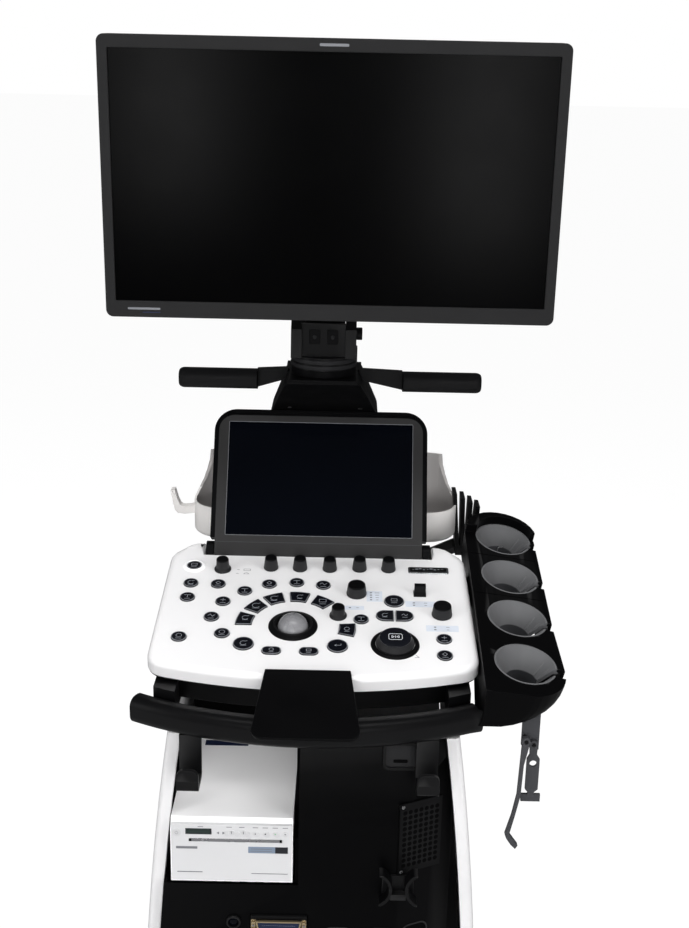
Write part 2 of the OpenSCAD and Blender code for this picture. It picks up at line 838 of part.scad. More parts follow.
module short_strap() {
    y0 = strap_y - 1;
    t = 4;
    color(grey_c) difference() {
        union() {
            from_front(y0, t) translate(short_pin) circle(5.5);
            from_front(y0, t) polygon([[247, 762], [257, 762], [256.5, 750], [260.5, 744], [260.5, 702],
                     [256, 698], [256, 695], [264, 695], [264, 685], [240, 685], [240, 695],
                     [248, 695], [248, 698], [244.5, 702], [244.5, 744], [247.5, 750]]);
        }
        from_front(y0 - 1, t + 2) translate(short_pin) circle(2.5 + fit);
        from_front(y0 - 1, t + 2) translate([252.5, 738]) circle(4.5);
    }
}

module long_strap() {
    y0 = strap_y - 9;
    t = 7;
    color(grey_c) difference() {
        union() {
            from_front(y0, t) translate(long_pin) circle(5.5);
            from_front(y0, t) polygon([[236.5, 768], [245.5, 768], [240, 740], [238.5, 697], [233, 668],
                     [227.5, 642], [239, 626], [236, 621], [230, 627], [224, 636],
                     [222, 641], [229, 668], [234, 697], [235.5, 740]]);
        }
        from_front(y0 - 1, t + 2) translate(long_pin) circle(2.5 + fit);
    }
}

module control_rings() {
    color(black_c) on_deck() {
        translate([ball_at[0], ball_at[1], 0]) rotate_extrude($fn = 64) polygon([
            [ball_r + 0.6, -6], [ball_r + 4, -6], [ball_r + 4, 0], [ball_ring_r, 0],
            [ball_ring_r - 2, 2.5], [ball_r + 5, 4], [ball_r + 0.6, 2.5]]);
        translate([freeze_at[0], freeze_at[1], 0]) rotate_extrude($fn = 64) polygon([
            [freeze_r + 0.6, 0], [freeze_ring_r, 0], [freeze_ring_r - 1.5, 2.5],
            [freeze_r + 2, 3.5], [freeze_r + 0.6, 3]]);
    }
    // trim strip at the right
    color(steel_c) on_deck() translate([153, 99, 0]) linear_extrude(1.5) round_rect(56, 16, 2);
}

module column_cover() {
    color(black_c) difference() {
        union() {
            translate([cart_x, neck_y, 1150]) cylinder(r = neck_r, h = neck_z - 1150);
            column_cover_form();
        }
        // bore of the neck's swivel pin
        translate([cart_x, neck_y, 1150]) cylinder(r = 20 + fit, h = 40);
    }
}

// Cover with sloping shoulders, without its swivel drum
module column_cover_form() {
    intersection() {
        from_side(-200, 400)
            polygon([[-14, 1160], [-14, 1154], [60, 1116], [138, 1070], [180, 1034],
                     [180, block_top_z], [246, block_top_z], [246, 1010], [232, 1075],
                     [150, 1145], [100, 1160]]);
        from_front(-100, 400) translate([cart_x, 0])
            polygon([[-45, 1160], [45, 1160], [51, 1152], [79, 1070], [84, 1000],
                     [74, 960], [74, 850], [-74, 850], [-74, 960], [-84, 1000],
                     [-79, 1070], [-51, 1152]]);
    }
}

module hanger_bar() {
    // centre bar behind the neck, sloping arms and level pads
    color(black_c) {
        translate([cart_x - 46, 92, 1160]) cube([92, 18, 22]);
        for (s = [-1, 1]) {
            pad_x = s < 0 ? -220 : 89;
            from_front(60, 14)
                polygon([[cart_x + s * 57, 1166], [cart_x + s * 57, 1144],
                         [s < 0 ? -112 : 89, 1131], [s < 0 ? -112 : 89, 1156]]);
            translate([s < 0 ? cart_x - 60 : cart_x + 46, 60, 1160])
                cube([14, 50, 6]);
            translate([pad_x + 54.5, 60, 1143]) rotate([0, 90, 0]) rotate([0, 0, 90])
                linear_extrude(109, center = true) round_rect(26, 28, 12);
        }
    }
}

// ---------- Touch panel ----------

// Frame of the touch panel: origin on the hinge axis, Y up along the panel, Z out of its face
module on_touch() {
    translate([console_x, hinge_y, hinge_z]) rotate([90 - touch_lean, 0, 0]) children();
}

module touch_housing() {
    color(black_c) on_touch() difference() {
        union() {
            translate([0, 0, barrel_r - touch_t]) linear_extrude(touch_t) {
                translate([0, touch_h / 2 + 8]) round_rect(touch_w, touch_h - 16, 32);
                translate([-touch_w / 2, 10]) square([touch_w, 90]);
            }
            rotate([0, 90, 0]) cylinder(r = barrel_r, h = 2 * (post_in - 0.5), center = true);
            translate([-post_in + 0.5, 0, -6]) cube([2 * post_in - 1, 14, 18]);
        }
        translate([0, 0, barrel_r - 3]) linear_extrude(10) touch_glass_outline(0);
        for (s = [-1, 1]) translate([s * (post_in - 12), 0, 0]) rotate([0, 90, 0])
            cylinder(r = touch_pin_r + fit, h = touch_pin_l + 1, center = true);
        for (s = [-1, 1]) translate([s * (post_in + 8), 0, 0])
            cube([17, 31, 2 * barrel_r + 30], center = true);
    }
}

module touch_glass_outline(inset) {
    translate([0, 103]) round_rect(270 - 2 * inset, 172 - 2 * inset, 5);
}

module touch_screen() {
    color("black") on_touch() translate([0, 0, barrel_r - 3]) linear_extrude(2)
        touch_glass_outline(0.3);
}

// ---------- Neck and monitor ----------

module neck_yoke() {
    color(black_c) {
        translate([cart_x, neck_y, 1151]) cylinder(r = 20, h = neck_z - 1151);
        translate([cart_x, neck_y, neck_z]) cylinder(r = neck_r, h = 18);
        difference() {
            for (s = [-1, 1]) from_side(s < 0 ? cart_x - 43.5 : cart_x + 29, 14.5) {
                polygon([[-2, 1187], [80, 1187], [78, 1225], [64, 1238], [16, 1238], [2, 1225]]);
            }
            translate([cart_x + 30, arm_pivot_y, arm_pivot_z]) rotate([0, 90, 0])
                cylinder(r = 4 + fit, h = 40);
        }
        translate([cart_x - 30, arm_pivot_y, arm_pivot_z]) rotate([0, 90, 0])
            cylinder(r = 6, h = 60);
        // plate that closes the fork's front
        translate([cart_x - 30, 8, 1186]) cube([60, 5, 46]);
    }
}

module lock_knob() {
    color(black_c) translate([cart_x + 32, arm_pivot_y, arm_pivot_z]) rotate([0, 90, 0]) {
        cylinder(r = 4, h = 14);
        translate([0, 0, 11.7]) cylinder(r = 8.5, h = 8);
    }
}

module monitor_arm() {
    half = 28.5;
    color(black_c) difference() {
        union() {
            translate([cart_x - half, arm_pivot_y, arm_pivot_z]) rotate([0, 90, 0])
                cylinder(r = 17, h = 2 * half);
            from_side(cart_x - 24, 48)
                polygon([[arm_pivot_y - 15, arm_pivot_z + 6], [arm_pivot_y + 15, arm_pivot_z + 6],
                         [arm_pivot_y + 15, 1400], [arm_pivot_y + 6, 1452],
                         [arm_pivot_y - 8, 1452], [arm_pivot_y - 15, 1400]]);
            translate([cart_x - 12, tilt_y, tilt_z]) rotate([0, 90, 0]) cylinder(r = 14, h = 24);
            translate([cart_x - 12, tilt_y, tilt_z - 14]) cube([24, 40, 28]);
            translate([cart_x - 30, tilt_y, tilt_z]) rotate([0, 90, 0]) cylinder(r = 6, h = 60);
        }
        translate([cart_x - half - 1, arm_pivot_y, arm_pivot_z]) rotate([0, 90, 0])
            cylinder(r = 6 + fit, h = 2 * half + 2);
    }
}

// Frame of the monitor: origin in the middle of its front, Z towards the viewer
module on_monitor() {
    translate([monitor_x, monitor_y, monitor_z]) rotate([90 + monitor_lean, 0, 0]) children();
}

module tilt_head() {
    plate_t = 6;
    color(black_c) {
        on_monitor() translate([cart_x - monitor_x, 0, -monitor_t - plate_t]) linear_extrude(plate_t)
            round_rect(120, 120, 8);
        difference() {
            for (s = [-1, 1]) from_side(s < 0 ? cart_x - 28 : cart_x + 13, 15) {
                polygon([[-52, tilt_z - 26], [tilt_y, tilt_z - 14], [tilt_y, tilt_z + 14],
                         [-54, tilt_z + 26]]);
                translate([tilt_y, tilt_z]) circle(14);
            }
            translate([cart_x - 40, tilt_y, tilt_z]) rotate([0, 90, 0])
                cylinder(r = 6 + fit, h = 80);
            on_monitor() translate([-100, -100, -monitor_t - plate_t]) cube([200, 200, 40]);
        }
    }
}

module monitor_housing() {
    color(black_c) on_monitor() difference() {
        union() {
            translate([0, 0, -34]) linear_extrude(22) round_rect(monitor_w, monitor_h, 9);
            translate([0, 0, -monitor_t]) linear_extrude(monitor_t - 34)
                round_rect(monitor_w - 90, monitor_h - 70, 24);
        }
        translate([0, 0, -30]) linear_extrude(40) round_rect(monitor_w - 8, monitor_h - 8, 6);
    }
}

module monitor_bezel() {
    color(black_c) on_monitor() difference() {
        translate([0, 0, -12]) linear_extrude(12) round_rect(monitor_w, monitor_h, 9);
        translate([0, 2.5, -20]) linear_extrude(40) square([screen_w, screen_h], center = true);
        translate([0, 2.5, -20]) linear_extrude(16)
            square([screen_w + 9, screen_h + 9], center = true);
    }
}

module monitor_screen() {
    color("black") on_monitor() translate([0, 2.5, -16]) linear_extrude(12)
        square([screen_w + 8, screen_h + 8], center = true);
}

// ---------- Controls ----------

module keys() {
    stem = 8;
    color(black_c) on_deck() {
        for (p = round_keys) translate([p[0], p[1], -stem]) cylinder(r = key_r, h = stem + key_top);
        for (p = big_keys) translate([p[0], p[1], -stem])
            cylinder(r = big_key_r, h = stem + key_top);
        for (p = oval_keys) translate([p[0], p[1], -stem]) linear_extrude(stem + key_top)
            round_rect(24, 15, 7);
        for (i = [0, 1]) translate([d_keys[i][0], d_keys[i][1], -stem])
            linear_extrude(stem + key_top) d_key(2 * i - 1, 0);
        for (a = arc_key_angles) translate([ball_at[0], ball_at[1], -stem]) rotate([0, 0, a])
            translate([arc_key_out_by(a), 0, 0]) linear_extrude(stem + key_top)
                arc_key(arc_key_half, arc_key_in, arc_key_out);
    }
}

module freeze_key() {
    color(black_c) on_deck() translate([freeze_at[0], freeze_at[1], 0]) {
        translate([0, 0, -8]) cylinder(r = 11.5, h = 12);
        translate([0, 0, 2]) rotate_extrude($fn = 64) polygon([
            [0, 0], [freeze_r, 0], [freeze_r, 2], [freeze_r - 3, 6], [19, 9], [18.5, 11.5],
            [17, 12.5], [0, 11.5]]);
    }
}

module trackball() {
    color(grey_c) on_deck() translate([ball_at[0], ball_at[1], ball_z]) sphere(r = ball_r, $fn = 64);
}

module toggle_switch() {
    color(black_c) on_deck() translate([toggle_at[0], toggle_at[1], 0]) {
        translate([-8, 0, -3]) rotate([0, 90, 0]) cylinder(r = 6.5, h = 16);
        translate([-7.5, -3.5, 0]) cube([15, 7, 14]);
    }
}

// Tapered knob on its shaft
module knob(at, r, h, taper) {
    color(black_c) on_deck() translate([at[0], at[1], 0]) {
        translate([0, 0, -12]) cylinder(r = shaft_r, h = 14);
        translate([0, 0, 0.4]) cylinder(r = r, h = 2);
        translate([0, 0, 2.4]) cylinder(r1 = r - 0.6, r2 = r - taper, h = h - 2.4);
    }
}

base_frame();
base_cover();
side_panel(true);  // left_side_panel
side_panel(false);  // right_side_panel
front_panel();
connector_panel();
printer_bay();
printer_case();
printer_keys();
speaker_grille();
cable_cleat();
rear_cover();
card_cage();
power_supply();
fan_rotor();
column_sleeve();
fork(front_left);  // fork_front_left
fork(front_right);  // fork_front_right
fork(rear_left);  // fork_rear_left
fork(rear_right);  // fork_rear_right
wheel(front_left);  // wheel_front_left
wheel(front_right);  // wheel_front_right
wheel(rear_left);  // wheel_rear_left
wheel(rear_right);  // wheel_rear_right
lift_column();
console_tray();
console_top();
front_handle();
palm_plate();
probe_rack();
rack_liners();
rear_cups();
cable_hooks();
control_rings();
column_cover();
hanger_bar();
short_strap();
long_strap();
touch_housing();
touch_screen();
neck_yoke();
lock_knob();
monitor_arm();
tilt_head();
monitor_housing();
monitor_bezel();
monitor_screen();
keys();
freeze_key();
trackball();
toggle_switch();
knob(menu_knob_at[0], menu_knob_r + 1.5, menu_knob_h, 3);  // menu_knob_1
knob(menu_knob_at[1], menu_knob_r, menu_knob_h, 2.5);  // menu_knob_2
knob(menu_knob_at[2], menu_knob_r, menu_knob_h, 2.5);  // menu_knob_3
knob(menu_knob_at[3], menu_knob_r, menu_knob_h, 2.5);  // menu_knob_4
knob(menu_knob_at[4], menu_knob_r, menu_knob_h, 2.5);  // menu_knob_5
knob(menu_knob_at[5], menu_knob_r, menu_knob_h, 2.5);  // menu_knob_6
knob(zoom_at, big_knob_r, big_knob_h, 3);  // zoom_knob
knob(select_at, select_r, big_knob_h, 3);  // select_knob
knob(gain_at, big_knob_r, big_knob_h, 3);  // gain_knob
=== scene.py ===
import json
import math

import bmesh
import bpy
from mathutils import Matrix, Vector

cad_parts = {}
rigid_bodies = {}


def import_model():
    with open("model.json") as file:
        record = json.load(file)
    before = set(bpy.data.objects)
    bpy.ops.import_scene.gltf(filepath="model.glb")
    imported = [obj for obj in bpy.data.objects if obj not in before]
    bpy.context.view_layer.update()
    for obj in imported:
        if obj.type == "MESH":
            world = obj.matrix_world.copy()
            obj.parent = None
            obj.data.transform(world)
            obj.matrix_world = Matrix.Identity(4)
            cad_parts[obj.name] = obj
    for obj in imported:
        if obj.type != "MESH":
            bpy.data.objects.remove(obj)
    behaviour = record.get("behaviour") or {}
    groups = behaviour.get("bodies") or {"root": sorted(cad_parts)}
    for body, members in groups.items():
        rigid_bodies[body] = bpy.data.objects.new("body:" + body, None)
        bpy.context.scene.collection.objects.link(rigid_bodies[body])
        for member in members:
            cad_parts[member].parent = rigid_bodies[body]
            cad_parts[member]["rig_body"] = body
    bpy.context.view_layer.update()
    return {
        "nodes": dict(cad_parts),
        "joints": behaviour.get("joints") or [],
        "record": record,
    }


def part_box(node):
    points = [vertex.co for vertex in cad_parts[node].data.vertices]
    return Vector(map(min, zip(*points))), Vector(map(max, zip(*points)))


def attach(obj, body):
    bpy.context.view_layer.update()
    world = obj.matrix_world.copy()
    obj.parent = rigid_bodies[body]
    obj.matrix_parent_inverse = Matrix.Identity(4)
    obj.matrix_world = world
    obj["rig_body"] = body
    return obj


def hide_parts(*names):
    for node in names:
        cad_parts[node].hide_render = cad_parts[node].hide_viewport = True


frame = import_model()

MM = 0.001
JOINTS = {j["name"]: j for j in frame["joints"]}
NODES = frame["nodes"]


# ---------- Places, in millimetres, worked out from the frame ----------

def spin(degrees, axis):
    return Matrix.Rotation(math.radians(degrees), 4, axis)


def shift(x, y, z=0.0):
    return Matrix.Translation((x, y, z))


def place(origin, tilt=0.0, turn=0.0):
    """Takes local millimetres to the world: turned about Z, then tilted about its own X."""
    return Matrix.Scale(MM, 4) @ Matrix.Translation(origin) @ spin(turn, "Z") @ spin(tilt, "X")


def corners_of(node):
    """Low and high corner of a CAD node's box."""
    return [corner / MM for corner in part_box(node)]


def node_centre(node):
    low, high = corners_of(node)
    return (low + high) / 2


def joint_at(name):
    return Vector(JOINTS[name]["pos_m"]) / MM


def up_of(at):
    """World direction of a place's own Z axis."""
    return (at.to_3x3() @ Vector((0, 0, 1))).normalized()


WORLD = place((0, 0, 0))
DECK_TILT = 12.0
BALL_ON_DECK = Vector((-28, -34, -4))
BALL_AT = joint_at("trackball_roll")
DECK = place(BALL_AT, DECK_TILT) @ Matrix.Translation(-BALL_ON_DECK)
DECK_BACK = DECK.inverted()
# the probe rack leans outwards about its inner edge, a little above the white top
RACK_EDGE = Vector((209.5, 0, 9))
RACK_ROLL = 8.0
RACK = DECK @ Matrix.Translation(RACK_EDGE) @ spin(RACK_ROLL, "Y") @ shift(-RACK_EDGE.x, 0)
RACK_BACK = RACK.inverted()
CUPS = [(265, -104), (265, -8), (265, 88), (265, 184)]
TOUCH_LEAN = 30.0
TOUCH = place(joint_at("touch_tilt"), 90 - TOUCH_LEAN)
TOUCH_BACK = TOUCH.inverted()
TOUCH_POST_X = 146
MONITOR_LEAN = 1.6
BEZEL_T = 12
MONITOR = place(node_centre("monitor_bezel"), 90 + MONITOR_LEAN) @ shift(0, 0, BEZEL_T / 2)
CART_X = joint_at("fan_spin").x
BODY_FRONT = corners_of("front_panel")[0].y


# ---------- Materials ----------

def link(tree, a, b):
    tree.links.new(a, b)


def add(tree, kind, **values):
    """A shader node with the values of some of its inputs."""
    node = tree.nodes.new("ShaderNode" + kind)
    for name, value in values.items():
        node.inputs[name.replace("_", " ")].default_value = value
    return node


def noise(tree, coords, scale, detail=3.0, stretch=None):
    if stretch:
        mapping = add(tree, "Mapping", Scale=stretch)
        link(tree, coords, mapping.inputs["Vector"])
        coords = mapping.outputs["Vector"]
    tex = add(tree, "TexNoise", Scale=scale, Detail=detail)
    link(tree, coords, tex.inputs["Vector"])
    return tex.outputs["Fac"]


def ranged(tree, value, low, high, start=0.3, end=0.7):
    node = add(tree, "MapRange", From_Min=start, From_Max=end, To_Min=low, To_Max=high)
    link(tree, value, node.inputs["Value"])
    return node.outputs["Result"]


def mixed(tree, factor, a, b):
    node = add(tree, "Mix")
    node.data_type = "RGBA"
    link(tree, factor, node.inputs["Factor"])
    for socket, value in ((node.inputs[6], a), (node.inputs[7], b)):
        if isinstance(value, bpy.types.NodeSocket):
            link(tree, value, socket)
        else:
            socket.default_value = (*value, 1)
    return node.outputs[2]


def shaded(colour, factor):
    return tuple(min(1.0, c * factor) for c in colour)


def material(name, colour, rough, spec=0.5, metal=0.0, coat=0.0, grain=(900, 0.1), stretch=None,
        mottle=(9, 0.06), smudge=0.06, edge_rub_and_highlight=0.0, pearl=0.0):
    """Moulded, painted or metal surface: fine grain as bump, slow changes of colour and of
    roughness, and lighter edges, partly rubbed by use and partly a painted highlight."""
    made = bpy.data.materials.new(name)
    made.use_nodes = True
    tree = made.node_tree
    shader = tree.nodes["Principled BSDF"]
    coords = add(tree, "TexCoord").outputs["Object"]
    patches = ranged(tree, noise(tree, coords, mottle[0], 4), 0, 1)
    base = mixed(tree, patches, shaded(colour, 1 - mottle[1]), shaded(colour, 1 + mottle[1]))
    # edges picked by pointiness are lightened: partly rubbed by use, partly a painted edge
    # highlight
    if edge_rub_and_highlight:
        edge = add(tree, "NewGeometry").outputs["Pointiness"]
        rubbed_and_lit_edges = ranged(tree, edge, 0, edge_rub_and_highlight, 0.53, 0.62)
        base = mixed(tree, rubbed_and_lit_edges, base, shaded(tuple(c + 0.02 for c in colour), 2.2))
    if pearl:
        facing = add(tree, "LayerWeight", Blend=0.35).outputs["Facing"]
        base = mixed(tree, ranged(tree, facing, 0, pearl, 0, 1), base,
                shaded(colour, 0.35))
    link(tree, base, shader.inputs["Base Color"])
    streaks = ranged(tree, noise(tree, coords, 23, 5), rough - smudge, rough + smudge)
    link(tree, streaks, shader.inputs["Roughness"])
    fine = noise(tree, coords, grain[0], 3, stretch)
    bump = add(tree, "Bump", Strength=grain[1], Distance=0.1 * MM)
    link(tree, fine, bump.inputs["Height"])
    link(tree, bump.outputs["Normal"], shader.inputs["Normal"])
    for socket, value in (("Metallic", metal), ("Specular IOR Level", spec), ("Coat Weight", coat),
            ("Coat Roughness", 0.12)):
        shader.inputs[socket].default_value = value
    return made


WHITE = (0.755, 0.75, 0.757)
BLACK = (0.0020, 0.0020, 0.0023)
M = {
    "white": material("white_moulding", WHITE, 0.34, coat=0.25, grain=(1100, 0.06),
        mottle=(5, 0.015)),
    "white_key_ring": material("white_ring", (0.93, 0.93, 0.94), 0.3, grain=(1200, 0.03)),
    "base": material("base_moulding", (0.70, 0.71, 0.73), 0.42, 0.45, grain=(800, 0.12)),
    "black": material("black_moulding", BLACK, 0.44, 0.12, grain=(1300, 0.22), edge_rub_and_highlight=0.2),
    "black_body": material("black_body", (0.0012, 0.0012, 0.0014), 0.36, 0.07, grain=(1500, 0.28),
        edge_rub_and_highlight=0.15),
    "black_satin": material("black_satin", (0.0020, 0.0020, 0.0023), 0.42, 0.30,
        grain=(1200, 0.06), smudge=0.03, edge_rub_and_highlight=0.3),
    "grille_plate": material("grille_plate", (0.0032, 0.0032, 0.0035), 0.45, 0.15,
        grain=(1500, 0.2), edge_rub_and_highlight=0.1),
    "rack_shell": material("rack_shell", (0.0015, 0.0015, 0.0017), 0.36, 0.07, grain=(1200, 0.07),
        edge_rub_and_highlight=0.3),
    "touch_frame": material("touch_frame", (0.0175, 0.0172, 0.0175), 0.5, 0.3, grain=(1300, 0.2),
        edge_rub_and_highlight=0.12),
    "key_skirt": material("key_skirt", (0.030, 0.031, 0.034), 0.4, 0.3, grain=(900, 0.06)),
    "black_deep": material("black_deep", (0.0012, 0.0012, 0.0013), 0.7, 0.08, grain=(700, 0.2)),
    "dark_grey": material("dark_grey", (0.0105, 0.0105, 0.0115), 0.5, 0.3, grain=(1300, 0.2),
        edge_rub_and_highlight=0.15),
    "frame_grey": material("monitor_frame", (0.0122, 0.0122, 0.0127), 0.5, 0.25, grain=(1500, 0.2),
        edge_rub_and_highlight=0.12),
    "housing": material("monitor_back", (0.014, 0.014, 0.0145), 0.55, 0.3, grain=(700, 0.35),
        edge_rub_and_highlight=0.15),
    "knob_side": material("knob_side", (0.014, 0.014, 0.015), 0.45, 0.3, grain=(1600, 0.2)),
    "knob_top": material("knob_top", (0.0022, 0.0022, 0.0025), 0.42, 0.2, grain=(1600, 0.1)),
    "cap": material("key_cap", (0.004, 0.0045, 0.007), 0.2, 0.4, coat=0.1, grain=(900, 0.03)),
    "clear_ring": material("clear_ring", (0.17, 0.175, 0.19), 0.2, coat=0.5, grain=(600, 0.04),
        mottle=(90, 0.25)),
    "symbol": material("symbol_white", (0.85, 0.86, 0.90), 0.5, 0.3, grain=(900, 0.05)),
    "symbol_dim": material("symbol_dim", (0.27, 0.28, 0.31), 0.5, 0.3, grain=(900, 0.05)),
    "print": material("printed_grey", (0.17, 0.175, 0.19), 0.5, 0.3, grain=(900, 0.05)),
    "label": material("label_blue", (0.60, 0.64, 0.71), 0.35, 0.4, grain=(500, 0.04),
        mottle=(60, 0.05)),
    "liner": material("cup_liner", (0.105, 0.106, 0.110), 0.42, 0.4, grain=(1200, 0.18),
        mottle=(14, 0.08), edge_rub_and_highlight=0.1),
    # strap rubber; the same colour is also the painted shade deep in the cup liners and the
    # painted highlight line on the touch panel's lower bar
    "strap": material("strap_rubber", (0.045, 0.046, 0.050), 0.6, 0.35, grain=(700, 0.3)),
    "pad": material("pad_rubber", (0.004, 0.004, 0.0044), 0.5, 0.25, grain=(900, 0.3), edge_rub_and_highlight=0.1),
    "warm_white": material("warm_white", (0.80, 0.78, 0.765), 0.4, 0.45, grain=(900, 0.1),
        mottle=(8, 0.03)),
    # darker copy of warm_white for the cups' inner faces: painted shade
    "warm_shade": material("warm_shade", (0.40, 0.385, 0.38), 0.45, 0.4, grain=(900, 0.1),
        mottle=(8, 0.03)),
    "printer": material("printer_paint", (0.92, 0.915, 0.92), 0.42, 0.4, grain=(1500, 0.16),
        mottle=(7, 0.02)),
    "printer_face": material("printer_face", (0.63, 0.63, 0.64), 0.38, 0.4, grain=(1500, 0.08),
        mottle=(7, 0.01)),
    "printer_key": material("printer_key", (0.60, 0.60, 0.61), 0.35, 0.4, grain=(900, 0.06)),
    "lcd": material("lcd", (0.010, 0.022, 0.018), 0.15, coat=0.4, grain=(300, 0.02)),
    "badge_blue": material("badge_blue", (0.20, 0.25, 0.33), 0.4, 0.4, grain=(900, 0.06)),
    "badge_black": material("badge_black", (0.015, 0.016, 0.02), 0.35, 0.4, grain=(900, 0.05)),
    "green": material("green_mark", (0.20, 0.45, 0.27), 0.4, 0.4, grain=(900, 0.05)),
    "navy": material("navy_plastic", (0.010, 0.016, 0.045), 0.35, 0.45, grain=(900, 0.08)),
    "gold": material("gold_contact", (0.63, 0.50, 0.30), 0.3, metal=0.9, grain=(700, 0.05)),
    "steel": material("satin_steel", (0.55, 0.55, 0.56), 0.28, metal=1.0, grain=(500, 0.12),
        stretch=(1, 8, 1)),
    "chrome": material("chrome_trim", (0.60, 0.61, 0.63), 0.12, metal=1.0, grain=(90, 0.05),
        mottle=(60, 0.35)),
    "aluminium": material("drawn_aluminium", (0.62, 0.63, 0.64), 0.34, metal=1.0,
        grain=(260, 0.25), stretch=(6, 6, 0.15)),
    "painted_steel": material("painted_steel", (0.24, 0.245, 0.25), 0.4, grain=(450, 0.25),
        edge_rub_and_highlight=0.3),
    "caster": material("caster_metal", (0.42, 0.43, 0.44), 0.35, metal=0.6, grain=(350, 0.2),
        edge_rub_and_highlight=0.25),
    "tread": material("caster_tread", (0.10, 0.103, 0.11), 0.62, 0.3, grain=(260, 0.4),
        mottle=(20, 0.12)),
    "glass": material("display_glass", (0.0003, 0.0003, 0.0004), 0.22, 0.085, grain=(2500, 0.04),
        mottle=(3, 0.15), smudge=0.01),
    "touch_glass": material("touch_glass", (0.0012, 0.0017, 0.0032), 0.10, 0.14, grain=(900, 0.01),
        mottle=(4, 0.12), smudge=0.008),
    "ball": material("pearl_ball", (0.20, 0.20, 0.21), 0.24, 0.6, coat=0.6, grain=(60, 0.02),
        mottle=(160, 0.08), pearl=0.6),
    "circuit": material("circuit_board", (0.02, 0.10, 0.06), 0.5, 0.4, grain=(120, 0.4)),
}


# ---------- Mesh tools ----------

